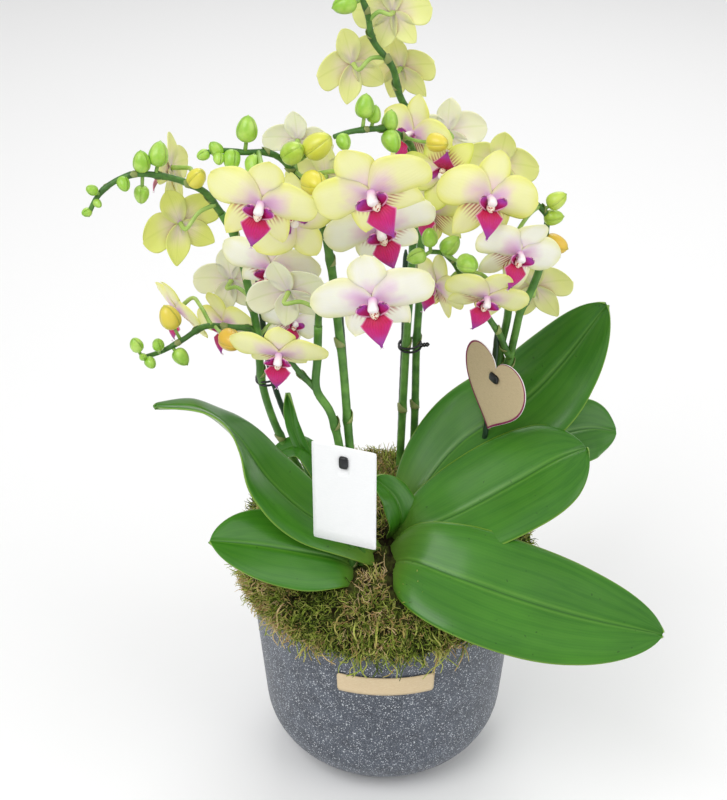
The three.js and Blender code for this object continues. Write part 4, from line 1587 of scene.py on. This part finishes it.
LEAVES = (
    LeafPlan("leaf_front_right", width=88, fold=0.1, faces=((-0.2, -0.5, 0.8), (0.1, -0.62, 0.78)), spine=(
        (-1, -54, 214), (18, -72, 232), (50, -88, 230), (97, -102, 220), (144, -114, 212),
        (202, -125, 205))),
    LeafPlan("leaf_right", width=84, fold=0.12, faces=((-0.5, -0.4, 0.8), (-0.35, -0.62, 0.7)), spine=(
        (6, -38, 216), (26, -46, 240), (58, -38, 252), (103, -24, 272), (132, -13, 284),
        (155, -4, 289))),
    LeafPlan("leaf_back_right", width=82, fold=0.1, faces=((-0.6, -0.6, 0.5), (-0.62, -0.7, 0.35)), spine=(
        (14, -16, 216), (30, 0, 248), (62, 20, 280), (112, 36, 308), (140, 44, 338), (171, 52, 384))),
    LeafPlan("leaf_far_right", width=64, fold=0.1, faces=((-0.3, -0.5, 0.8), (-0.1, -0.6, 0.8)), spine=(
        (30, 14, 214), (62, 36, 232), (100, 56, 244), (148, 78, 248), (176, 87, 248), (198, 92, 242))),
    LeafPlan("leaf_arching_left", width=66, fold=0.16, faces=((0.35, -0.4, 0.8), (-0.3, 0.3, 0.9)), spine=(
        (-4, -50, 216), (-24, -56, 240), (-60, -54, 262), (-88, -52, 292), (-112, -50, 332),
        (-135, -52, 354), (-166, -58, 360))),
    LeafPlan("leaf_front_left", width=60, fold=0.14, faces=((0.2, -0.5, 0.85), (0.15, -0.55, 0.82)), spine=(
        (-18, -62, 212), (-36, -72, 232), (-62, -78, 244), (-97, -84, 256), (-129, -92, 266))),
    LeafPlan("leaf_small_back_left", width=22, fold=0.15, faces=((0.3, -0.4, 0.8), (0, -0.5, 0.85)), spine=(
        (-30, -4, 216), (-44, 4, 246), (-66, 16, 276), (-88, 24, 266))),
    LeafPlan("leaf_narrow_left", width=12, fold=0.2, faces=((-0.2, -0.9, 0.3), (-0.2, -0.95, 0.2)), spine=(
        (-46, 8, 216), (-58, 12, 256), (-71, 18, 290), (-76, 22, 322))),
    LeafPlan("leaf_centre", width=30, fold=0.3, faces=((0.4, -0.6, 0.6), (0.5, -0.6, 0.6)), spine=(
        (4, -28, 216), (12, -32, 240), (8, -26, 256), (-8, -16, 268))),
)

STAKES = (
    StakePlan("stake_left", ((-46, 44, 120), (-59, 40, 225), (-88, 31, 330), (-96, 24, 425))),
    StakePlan("stake_front", ((-14, -47, 120), (-18, -49, 200), (-27, -48, 330), (-35, -42, 452))),
    StakePlan("stake_back", ((10, 64, 120), (12, 64, 200), (14, 62, 300), (15, 58, 363), (15, 54, 430))),
    StakePlan("stake_right", ((74, 21, 120), (77, 19, 250), (82, 15, 340), (84, 15, 386))),
)


# ---------------------------------------------------------------- pot, growing medium and moss


@dataclass(frozen=True)
class Pot:
    """The pot: a slightly tapered tub with a strongly rounded lower edge and a soft rim."""

    wall: float = 0.005
    edge: float = 0.053
    taper: float = 0.0134
    lip: float = 0.0016
    sides: int = 160

    def outline(self) -> Array:
        """Radius and height of the pot's section, from the underside round to the inner floor."""
        low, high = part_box("pot")
        rim, top = (high.x - low.x) / 2, high.z
        slope = self.taper / top
        lean = math.atan(slope)
        centre = rim - self.taper + slope * self.edge - self.edge / math.cos(lean)
        turn = np.linspace(-math.pi / 2, -lean, 14)
        outer = np.stack([centre + self.edge * np.cos(turn), self.edge + self.edge * np.sin(turn)], axis=1)
        small = self.edge - self.wall
        inner = np.stack([centre + small * np.cos(turn), self.edge + small * np.sin(turn)], axis=1)[::-1]
        bead = np.linspace(-lean, math.pi, 12)
        half = self.wall / 2
        lip = np.stack([rim - half + half * np.cos(bead), top - half + half * np.sin(bead)], axis=1)
        foot = np.array([[0, 0.0012], [centre - 0.01, 0.0012], [centre - 0.006, 0.0]])
        walls = np.array([[rim - self.taper * (1 - z / top), z] for z in (0.08, 0.12, 0.16)])
        return np.vstack([foot, outer, walls, lip, inner, [[0, self.wall]]])

    def build(self, material: Material) -> None:
        """Makes the pot.

        Args:
            material: its finish.
        """
        skin = Skin()
        add_lathe(skin, self.outline(), self.sides)
        settle(skin.build("pot_tub", material), "pot", "pot")


@dataclass(frozen=True)
class PotLabel:
    """The bare foil label on the pot's front: a thin plate that follows the wall."""

    thickness: float = 0.0006
    corner: float = 0.0012
    gap: float = 0.0002

    def build(self, material: Material) -> None:
        """Makes the label.

        Args:
            material: its finish.
        """
        low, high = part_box("pot_label")
        width = high.x - low.x
        radius = pot_radius_at((low.z + high.z) / 2)
        t, v = np.meshgrid(np.linspace(0, 1, 9), np.linspace(-1, 1, 41), indexing="ij")
        trim = self.corner * np.clip((np.abs(2 * t - 1) - 0.8) / 0.2, 0, 1) ** 2
        turn = -math.pi / 2 + v * (width / 2 - trim) / radius
        height = low.z + t * (high.z - low.z)
        reach = np.vectorize(pot_radius_at)(height) + self.gap + self.thickness
        sheet = np.stack([reach * np.cos(turn), reach * np.sin(turn), height], axis=-1)
        skin = Skin()
        add_blade(skin, sheet[:, ::-1], np.full(t.shape, -self.thickness))
        settle(skin.build("pot_plate", material), "label", "pot_label")


def pot_radius_at(height: float) -> float:
    """The pot's outer radius at a height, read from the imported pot."""
    low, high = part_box("pot")
    return (high.x - low.x) / 2 - Pot.taper * (1 - height / high.z)


class MossStrands:
    """Loose strands that cover the mound, spread by Geometry Nodes."""

    VARIANTS = 9
    DENSITY = 105000.0
    SIDES = 3

    def strand(self, chance: Chance, number: int) -> Object:
        """One curled strand with a short side twig, at the origin, rising along Z.

        Args:
            chance: where its shape comes from.
            number: which variant it is.

        Returns:
            The strand.
        """
        skin = Skin()
        length = chance.uniform(0.011, 0.019)
        heading = chance.uniform(0, 2 * math.pi)
        line, tilt, point = [np.zeros(3)], chance.uniform(0.5, 1.3), np.zeros(3)
        for _ in range(4):
            heading += chance.normal(0, 1.0)
            tilt += chance.normal(0.12, 0.6)
            level = np.array([math.cos(heading), math.sin(heading), 0]) * math.sin(tilt)
            point = point + (level + [0, 0, math.cos(tilt)]) * length / 4
            line.append(point)
        line = np.array(line)
        add_rod(skin, line, np.array([0.9, 1.0, 0.85, 0.65, 0.3]) * 0.00055, self.SIDES)
        twig = line[2] + np.outer([0, 0.5, 1], unit(chance.normal(0, 1, 3) + [0, 0, 0.8]) * length * 0.3)
        add_rod(skin, twig, np.array([0.8, 0.7, 0.3]) * 0.0004, self.SIDES)
        return skin.build(f"strand_shape_{number}")

    def tree(self, shapes: bpy.types.Collection, material: Material) -> bpy.types.NodeTree:
        """The tree that spreads the strands.

        Args:
            shapes: the strand shapes.
            material: their finish.

        Returns:
            The node tree, with inputs for how dense, how large and which seed, for the leaves and
            for how far from them the strands keep.
        """
        tree = bpy.data.node_groups.new("spread_strands", "GeometryNodeTree")
        inputs = {"Geometry": "Geometry", "Density": "Float", "Smallest": "Float", "Largest": "Float",
                  "Seed": "Int", "Leaves": "Object", "Clearance": "Float"}
        for label, kind in inputs.items():
            tree.interface.new_socket(label, in_out="INPUT", socket_type=f"NodeSocket{kind}")
        tree.interface.new_socket("Geometry", in_out="OUTPUT", socket_type="NodeSocketGeometry")
        g = Graph(tree)
        entry, leave = g.node("NodeGroupInput"), g.node("NodeGroupOutput")
        clumps = g.node("ShaderNodeTexNoise", {"Scale": 75.0, "Detail": 2.0}).outputs[0]
        share = g.node("ShaderNodeMapRange", {
            "Value": clumps, "From Min": 0.36, "From Max": 0.6, "To Min": 0.15}).outputs[0]
        density = g.times(entry.outputs["Density"], share)
        cover = g.node("GeometryNodeDistributePointsOnFaces", {
            "Mesh": entry.outputs["Geometry"], "Density": density,
            "Seed": entry.outputs["Seed"]}, distribute_method="RANDOM")
        leaves = g.node("GeometryNodeObjectInfo", {"Object": entry.outputs["Leaves"]},
                        transform_space="ORIGINAL").outputs["Geometry"]
        gap = g.node("GeometryNodeProximity", {0: leaves}, target_element="FACES")
        near = g.node("FunctionNodeCompare", {0: gap.outputs["Distance"], 1: entry.outputs["Clearance"]},
                      data_type="FLOAT", operation="LESS_THAN")
        clear = g.node("GeometryNodeDeleteGeometry", {
            "Geometry": cover.outputs["Points"], "Selection": near.outputs[0]}, domain="POINT")
        source = g.node("GeometryNodeCollectionInfo", {"Separate Children": True, "Reset Children": True})
        source.inputs["Collection"].default_value = shapes
        spin = g.node("FunctionNodeRandomValue", {"Seed": 1}, data_type="FLOAT_VECTOR")
        spin.inputs[0].default_value = (-0.75, -0.75, 0.0)
        spin.inputs[1].default_value = (0.75, 0.75, 2 * math.pi)
        size = g.node("FunctionNodeRandomValue", {
            2: entry.outputs["Smallest"], 3: entry.outputs["Largest"], "Seed": 2}, data_type="FLOAT")
        turned = g.node("FunctionNodeRotateRotation", {
            0: cover.outputs["Rotation"], 1: spin.outputs[0]}, rotation_space="LOCAL")
        planted = g.node("GeometryNodeInstanceOnPoints", {
            "Points": clear.outputs[0], "Instance": source.outputs[0], "Pick Instance": True,
            "Rotation": turned.outputs[0], "Scale": size.outputs[1]})
        hue = g.node("FunctionNodeRandomValue", {2: 0.0, 3: 1.0, "Seed": 3}, data_type="FLOAT")
        stored = g.node("GeometryNodeStoreNamedAttribute", {
            "Geometry": planted.outputs[0], "Name": "hue", "Value": hue.outputs[1]},
            data_type="FLOAT", domain="INSTANCE")
        real = g.node("GeometryNodeRealizeInstances", {0: stored.outputs[0]})
        dressed = g.node("GeometryNodeSetMaterial", {0: real.outputs[0], "Material": material})
        g.feed(leave.inputs[0], dressed.outputs[0])
        return tree


@dataclass(frozen=True)
class Moss:
    """The moss: a lumpy mound that swells over the rim, under several layers of loose strands."""

    rings: int = 60
    sides: int = 120
    layers: tuple[tuple[str, float, float], ...] = (
        ("low", 0.5, 0.8), ("middle", 0.55, 0.9), ("upper", 0.6, 0.95), ("loose", 0.6, 1.1))
    clearance: float = 0.006
    wisp_count: int = 120

    def outline(self) -> Array:
        """Radius and height of the mound's section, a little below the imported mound's surface."""
        rim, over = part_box("pot")[1].x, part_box("pot")[1].z
        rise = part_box("moss")[1].z - over - 0.004
        upper = Route(np.array([
            (0, 0, over + rise), (rim - 0.05, 0, over + 0.93 * rise), (rim - 0.014, 0, over + 0.72 * rise),
            (rim + 0.003, 0, over + 0.018), (rim + 0.005, 0, over + 0.003),
            (rim + 0.0025, 0, over - 0.008)]))
        line = upper.spaced(self.rings)[:, [0, 2]]
        inner = [[rim + 0.0008, over - 0.006], [rim + 0.0008, over + 0.0006], [rim - 0.0062, over + 0.0006],
                 [rim - 0.0062, over - 0.007], [0, over - 0.007]]
        return np.vstack([line, inner])

    def mound(self) -> Skin:
        """The mound, with its lumps."""
        skin = Skin()
        add_lathe(skin, self.outline(), self.sides)
        points = skin.points[0]
        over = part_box("pot")[1].z
        lumps = sum(
            a * np.sin(points[:, 0] * f + p) * np.sin(points[:, 1] * f * 1.1 + q)
            for a, f, p, q in ((0.003, 90, 0.4, 1.1), (0.0024, 190, 2.0, 0.3), (0.0014, 380, 0.9, 2.2)))
        points[:, 2] += lumps * np.clip((points[:, 2] - over) / 0.01, 0, 1)
        return skin

    def build(self, leaves: list[Object], strands: Material, soil: Material) -> None:
        """Makes the mound and its layers of strands.

        Args:
            leaves: the finished leaves, which the strands keep clear of.
            strands: the strands' finish.
            soil: the mound's finish.
        """
        mound = self.mound().build("moss_mound", soil)
        maker = MossStrands()
        chance = seeded("strand shapes")
        shapes = bpy.data.collections.new("strand_shapes")
        for number in range(maker.VARIANTS):
            shape = maker.strand(chance, number)
            bpy.context.scene.collection.objects.unlink(shape)
            shapes.objects.link(shape)
        tree = maker.tree(shapes, strands)
        cover = self.cover(mound)
        blades = self.joined(leaves)
        for seed, (label, smallest, largest) in enumerate(self.layers):
            spread = cover.modifiers.new("spread", "NODES")
            spread.node_group = tree
            given = {"Density": maker.DENSITY, "Smallest": smallest, "Largest": largest, "Seed": seed + 5,
                     "Leaves": blades, "Clearance": self.clearance}
            for socket in tree.interface.items_tree:
                if socket.in_out == "INPUT" and socket.name in given:
                    spread[socket.identifier] = given[socket.name]
            seen = cover.evaluated_get(bpy.context.evaluated_depsgraph_get())
            mesh = bpy.data.meshes.new_from_object(seen)
            cover.modifiers.remove(spread)
            mesh.polygons.foreach_set("use_smooth", np.ones(len(mesh.polygons), bool))
            settle(add_object(f"moss_{label}", mesh), "moss")
        bpy.data.objects.remove(cover)
        bpy.data.objects.remove(blades)
        self.wisps(strands)
        for shape in list(shapes.objects):
            bpy.data.objects.remove(shape)
        bpy.data.collections.remove(shapes)
        settle(mound, "moss", "moss")

    def wisps(self, material: Material) -> None:
        """Makes the long loose strands that hang over the pot's rim, most of them at the front.

        Args:
            material: their finish.
        """
        chance = seeded("wisps")
        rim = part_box("pot")[1]
        skin = Skin(("hue",))
        for _ in range(self.wisp_count):
            turn = chance.normal(-math.pi / 2, 1.1)
            length = chance.uniform(0.02, 0.042)
            out = chance.uniform(0.003, 0.007)
            outward = np.array([math.cos(turn), math.sin(turn), 0])
            point = outward * (rim.x - 0.004)
            point[2] = rim.z + chance.uniform(0.012, 0.024)
            sideways = np.array([-math.sin(turn), math.cos(turn), 0]) * chance.normal(0, 0.5)
            line = [point, point + outward * (out + 0.006) + [0, 0, -0.004]]
            for step in range(1, 6):
                drop = length * step / 5
                curl = chance.normal(0, 0.0016, 3)
                hang = rim.x + out + 0.001 * step * chance.uniform(-0.6, 0.7)
                place = outward * hang + sideways * drop + [0, 0, rim.z + 0.012 - drop]
                line.append(place + curl)
            points = Route(np.array(line)).spaced(26)
            radii = np.linspace(0.0007, 0.0004, 26) * chance.uniform(0.8, 1.2)
            add_rod(skin, points, radii, 5, hue=chance.uniform(0.25, 1.0))
        settle(skin.build("moss_wisps", material), "moss")

    def joined(self, pieces: list[Object]) -> Object:
        """One object that holds copies of several pieces' faces."""
        points, faces = [], []
        for piece in pieces:
            first = len(points)
            points += [v.co[:] for v in piece.data.vertices]
            faces += [[first + k for k in face.vertices] for face in piece.data.polygons]
        return add_plain("blades", points, faces)

    def cover(self, mound: Object) -> Object:
        """The part of the mound's surface that strands grow on: all but its underside."""
        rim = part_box("pot")[1]
        keep = []
        for face in mound.data.polygons:
            outside = math.hypot(face.center.x, face.center.y) > rim.x + 0.002
            if face.normal.z > 0.25 or outside:
                keep.append([*face.vertices])
        return add_plain("cover", [v.co[:] for v in mound.data.vertices], keep)


# ---------------------------------------------------------------- stakes, ties and tags


def build_stake(plan: StakePlan, material: Material) -> None:
    """Makes a stake: a slightly ribbed rod with a rounded top.

    Args:
        plan: the stake's route.
        material: its finish.
    """
    points = Route(metres(plan.route)).spaced(90)
    radii = np.full(90, 0.0023) * (1 + 0.03 * np.sin(np.arange(90) * 2.1))
    radii[-4:] *= [0.97, 0.88, 0.68, 0.35]
    skin = Skin()
    add_rod(skin, points, radii, 16)
    settle(skin.build(plan.node.replace("stake", "rod"), material), "stake", plan.node)


def build_tie(node: str, material: Material) -> None:
    """Makes a wire tie: two turns of coated wire round stem and stake, with twisted ends.

    Args:
        node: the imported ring.
        material: its finish.
    """
    low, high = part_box(node)
    middle, reach = (low + high) / 2, (high.x - low.x) / 2 - 0.0012
    turn = np.linspace(0, 4 * math.pi, 73)
    loops = np.stack([middle.x + reach * 0.72 * np.cos(turn), middle.y + reach * 0.8 * np.sin(turn),
                      middle.z + 0.0032 * np.sin(turn / 4 + 0.4) + 0.001 * np.cos(turn)], axis=1)
    skin = Skin()
    add_rod(skin, loops, np.full(73, 0.0009), 8)
    twist = np.linspace(0, 3 * math.pi, 25)
    for phase in (0, math.pi):
        away = reach * 0.72 + twist * 0.0007
        ends = np.stack([middle.x + away, middle.y + 0.0011 * np.cos(twist + phase),
                         middle.z + 0.0011 * np.sin(twist + phase) + away * 0.12], axis=1)
        add_rod(skin, ends, np.full(25, 0.0008), 8)
    settle(skin.build(node.replace("tie", "wire"), material), "wire", node)


@dataclass(frozen=True)
class Tag:
    """A flat tag that hangs by a clip through its slot, and the way it is turned, in degrees."""

    node: str
    clip: str
    aside: float
    roll: float = 0.0
    thickness: float = 0.0008

    def axes(self) -> tuple[Array, Array, Array]:
        """The tag's directions: across it, up it and out of its face."""
        turn, roll = math.radians(self.aside), math.radians(self.roll)
        level = np.array([math.cos(turn), math.sin(turn), 0])
        face = np.array([math.sin(turn), -math.cos(turn), 0])
        across = math.cos(roll) * level - math.sin(roll) * np.array([0, 0, 1.0])
        up = math.sin(roll) * level + math.cos(roll) * np.array([0, 0, 1.0])
        return across, up, face

    def middle(self) -> Array:
        """The middle of the clip's head, just in front of the slot."""
        points = np.array([v.co for v in frame["nodes"][self.clip].data.vertices])
        face = self.axes()[2]
        front = points[points @ face > (points @ face).max() - 0.0005]
        return front.mean(axis=0) - face * 0.0034

    def plate(self, outline: Array, hole: Array, material: Material, rim: Material, name: str,
              slot: str) -> None:
        """Makes the tag's board, with a slot in it and a finish of its own on its cut edge.

        Args:
            outline: points round the tag, across and up from the slot.
            hole: as many points round the slot.
            material: the face's finish.
            rim: the cut edge's finish.
            name: the piece's name.
            slot: a name that is handed on to settle.
        """
        across, up, face = self.axes()
        origin = self.middle()
        count = len(outline)
        skin = Skin(("rim",))
        inner = outline + (outline.mean(axis=0) - outline) * 0.008
        steps = np.linspace(0, 1, 8)
        flat = np.array([hole + (inner - hole) * step for step in steps])
        before = (origin + flat[..., :1] * across + flat[..., 1:] * up).reshape(-1, 3)
        rows, size = len(steps), len(steps) * count
        edge = origin + outline[:, :1] * across + outline[:, 1:] * up - face * self.thickness / 2
        points = np.vstack([before, before - face * self.thickness, edge])
        front = grid_faces(rows, count, wrap=True)
        faces = front.tolist() + (front[:, ::-1] + size).tolist()
        last, after = size - count, [(j + 1) % count for j in range(count)]
        faces += [[j, after[j], after[j] + size, j + size] for j in range(count)]
        body = len(faces)
        cut, low = 2 * size, last + size
        faces += [[last + after[j], last + j, cut + j, cut + after[j]] for j in range(count)]
        faces += [[cut + after[j], cut + j, low + j, low + after[j]] for j in range(count)]
        spots = np.vstack([flat.reshape(-1, 2), flat.reshape(-1, 2), outline]) / 0.09 + 0.5
        share = np.repeat(steps ** 0.5, count)
        skin.add(points, faces, spots, rim=np.concatenate([share, share, np.ones(count)]))
        skin.finishes[body:] = [1] * (len(faces) - body)
        settle(skin.build(name, material, rim), slot, self.node)

    def clip_piece(self, upright: bool, material: Material) -> None:
        """Makes the clip: a rounded head before the slot and a split peg through it.

        Args:
            upright: whether the head is taller than it is wide.
            material: its finish.
        """
        across, up, face = self.axes()
        origin = self.middle()
        a, b = (0.0034, 0.005) if upright else (0.005, 0.0034)
        skin = Skin()
        turn = np.linspace(0, 2 * math.pi, 24, endpoint=False)
        rounded = np.stack([a * np.sign(np.cos(turn)) * np.abs(np.cos(turn)) ** 0.5,
                            b * np.sign(np.sin(turn)) * np.abs(np.sin(turn)) ** 0.5], axis=1)
        level = rounded[:, :1] * across + rounded[:, 1:] * up
        profile = ((0.0, 1.0), (0.0012, 1.0), (0.0021, 0.85), (0.0024, 0.5))
        rings = np.array([origin + level * share + face * depth for depth, share in profile])
        skin.add_rings(rings, np.array([origin, origin + face * 0.0024]))
        for side in (1, -1):
            start = origin + (up if upright else across) * side * 0.0016
            line = np.array([start, start - face * 0.004, start - face * 0.0078 + up * side * 0.0006])
            add_rod(skin, line, np.array([0.0012, 0.0012, 0.0007]), 8)
        settle(skin.build(self.clip.replace("clip", "peg"), material), "wire", self.clip)


def ring_points(corners: Array, count: int) -> Array:
    """Points at equal distances round a closed outline, starting at its first corner."""
    closed = np.vstack([corners, corners[:1]])
    run = distance_along(closed)
    wanted = np.linspace(0, run[-1], count, endpoint=False)
    return np.stack([np.interp(wanted, run, closed[:, k]) for k in range(2)], axis=1)


def rounded_box(low: tuple[float, float], high: tuple[float, float], corner: float) -> Array:
    """The outline of a rectangle with small round corners, from the middle of its right side up."""
    turns = np.linspace(0, math.pi / 2, 7)
    arcs = []
    left, right = low[0] + corner, high[0] - corner
    bottom, top = low[1] + corner, high[1] - corner
    centres = ((right, top), (left, top), (left, bottom), (right, bottom))
    for quarter, (x, y) in enumerate(centres):
        angle = turns + quarter * math.pi / 2
        arcs.append(np.stack([x + corner * np.cos(angle), y + corner * np.sin(angle)], axis=1))
    start = np.array([[high[0], (low[1] + high[1]) / 2]])
    return np.vstack([start, *arcs])


def heart_outline(half: float) -> Array:
    """The outline of a heart whose slot is at the origin, from its right side up.

    Args:
        half: half its width.

    Returns:
        Points round it.
    """
    curves = (
        ((1, 0.05), (0.95, 0.75), (0.1, 0.62), (0, 0.22)),
        ((0, 0.22), (-0.1, 0.62), (-0.95, 0.75), (-1, 0.05)),
        ((-1, 0.05), (-1, -0.6), (-0.35, -0.9), (0, -1.32)),
        ((0, -1.32), (0.35, -0.9), (1, -0.6), (1, 0.05)),
    )
    t = np.linspace(0, 1, 24, endpoint=False)[:, None]
    parts = []
    for a, b, c, d in (np.array(curve) * half for curve in curves):
        parts.append(a * (1 - t) ** 3 + 3 * b * t * (1 - t) ** 2 + 3 * c * t ** 2 * (1 - t) + d * t ** 3)
    return np.vstack(parts)


@dataclass(frozen=True)
class Tags:
    """The white card and the kraft heart, both bare, with their clips."""

    card: Tag = Tag("card", "card_clip", aside=-20.0)
    heart: Tag = Tag("heart_tag", "heart_clip", aside=-57.0, roll=6.0)
    card_size: tuple[float, float] = (0.049, 0.085)
    card_drop: float = 0.013
    heart_width: float = 0.074
    slot_size: tuple[float, float] = (0.005, 0.008)

    def build(self, white: Material, kraft: Material, edge: Material, clip: Material) -> None:
        """Makes both tags and clips.

        Args:
            white: the card's finish.
            kraft: the heart's finish.
            edge: the heart's pale cut edge.
            clip: the clips' finish.
        """
        wide, tall = self.card_size
        outline = rounded_box((-wide / 2, self.card_drop - tall), (wide / 2, self.card_drop), 0.0012)
        count = 120
        self.card.plate(ring_points(outline, count), self.hole(count, upright=True), white, white,
                        "card_board", "card")
        self.card.clip_piece(True, clip)
        heart = ring_points(heart_outline(self.heart_width / 2), count)
        self.heart.plate(heart, self.hole(count, upright=False), kraft, edge, "heart_board", "kraft")
        self.heart.clip_piece(False, clip)

    def hole(self, count: int, upright: bool) -> Array:
        """The outline of a tag's slot, point for point with the tag's own."""
        a, b = self.slot_size if upright else self.slot_size[::-1]
        turn = np.linspace(0, 2 * math.pi, count, endpoint=False)
        return np.stack([a / 2 * np.cos(turn), b / 2 * np.sin(turn)], axis=1)


# ---------------------------------------------------------------- studio


@dataclass(frozen=True)
class Studio:
    """The camera, the pale floor and the soft lights."""

    camera_place: Point = (-0.017, -0.908, 0.889)
    camera_tilt: float = math.radians(58.37)
    lens: float = 63.0
    floor_half: float = 4.0

    def build(self) -> None:
        """Makes the camera, the floor, the lights and the pale surroundings."""
        camera = bpy.data.cameras.new("camera")
        camera.lens = self.lens
        camera.sensor_width = 36.0
        camera.clip_start = 0.05
        eye = add_object("camera", camera)
        eye.location = self.camera_place
        eye.rotation_euler = (self.camera_tilt, 0, 0)
        bpy.context.scene.camera = eye
        self.add_floor()
        self.add_light("key", (-1.1, -1.3, 2.3), 1.6, 32.0)
        self.add_light("fill", (1.7, -0.9, 1.7), 1.8, 15.0)
        self.add_light("rim", (0.2, 1.7, 2.0), 1.6, 16.0)
        world = bpy.data.worlds.new("surroundings")
        world.use_nodes = True
        sky = world.node_tree.nodes["Background"]
        sky.inputs["Color"].default_value = (1.0, 1.0, 1.0, 1.0)
        sky.inputs["Strength"].default_value = 0.62
        bpy.context.scene.world = world
        bpy.context.scene.view_settings.view_transform = "Standard"

    def add_floor(self) -> None:
        """Adds the floor."""
        h = self.floor_half
        floor = add_plain("floor", [(-h, -h, 0), (h, -h, 0), (h, h, 0), (-h, h, 0)], [(0, 1, 2, 3)])
        paint = bpy.data.materials.new("floor_pale")
        paint.use_nodes = True
        shader = paint.node_tree.nodes["Principled BSDF"]
        shader.inputs["Base Color"].default_value = (0.9, 0.9, 0.9, 1)
        shader.inputs["Roughness"].default_value = 0.6
        floor.data.materials.append(paint)

    def add_light(self, name: str, place: Point, size: float, power: float) -> None:
        """Adds a soft light that looks at the middle of the plant.

        Args:
            name: its name.
            place: where it is.
            size: its width.
            power: its strength in watts.
        """
        data = bpy.data.lights.new(name, "AREA")
        data.size = size
        data.energy = power
        light = add_object(name, data)
        light.location = place
        aim = Vector((0, 0, 0.3)) - Vector(place)
        light.rotation_euler = aim.to_track_quat("-Z", "Y").to_euler()


# ---------------------------------------------------------------- assembly


def dress(node: str, material: Material) -> None:
    """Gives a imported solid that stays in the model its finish."""
    mesh = frame["nodes"][node].data
    mesh.materials.clear()
    mesh.materials.append(material)
    LOG.info("%s: kept", node)


def main() -> None:
    """Builds the plant, its pot, its tags and the studio."""
    logging.basicConfig(level=logging.INFO, format="%(message)s")
    Studio().build()
    Pot().build(PotFinish().make())
    PotLabel().build(PaperFinish("label_foil", "D9C29A", "E8D6B4", 0.6, Gloss(roughness=0.38)).make())
    dress("growing_medium", SoilFinish("growing_bark", "2A1D12", "5A4228").make())
    leaf = LeafFinish().make()
    leaves = [plan.build(leaf) for plan in LEAVES]
    Moss().build(leaves, MossFinish().make(), SoilFinish("moss_mat", "221A10", "444A20").make())
    stem, bud = StemFinish().make(), BudFinish().make()
    for plan in SPIKES:
        plan.build(stem, bud)
    petals = {mood: finish.make() for mood, finish in PETAL_FINISHES.items()}
    lip, column = LipFinish().make(), ColumnFinish().make()
    for node in sorted(name for name in frame["nodes"] if name.startswith("flower")):
        Flower(node, FLOWER_MOODS.get(node, Mood.YELLOW)).build(petals, lip, column)
    rod = PatchedFinish("stake_green", "1C3A22", "2C5030").make()
    wire = PatchedFinish("wire_black", "101216", "24272C").make()
    for plan in STAKES:
        build_stake(plan, rod)
    for node in ("tie_left", "tie_back"):
        build_tie(node, wire)
    white = PaperFinish("card_white", "FAFBFC", "F2F4F6", 0.4, Gloss(roughness=0.45)).make()
    kraft = PaperFinish("kraft_board", "D6C29E", "BCA682", 0.4, Gloss(roughness=0.85, specular=0.2),
                        border="92305E").make()
    edge = PaperFinish("heart_edge", "F2EEEC", "E2DCDA", 0.4).make()
    Tags().build(white, kraft, edge, wire)


if __name__ == "__main__":
    main()
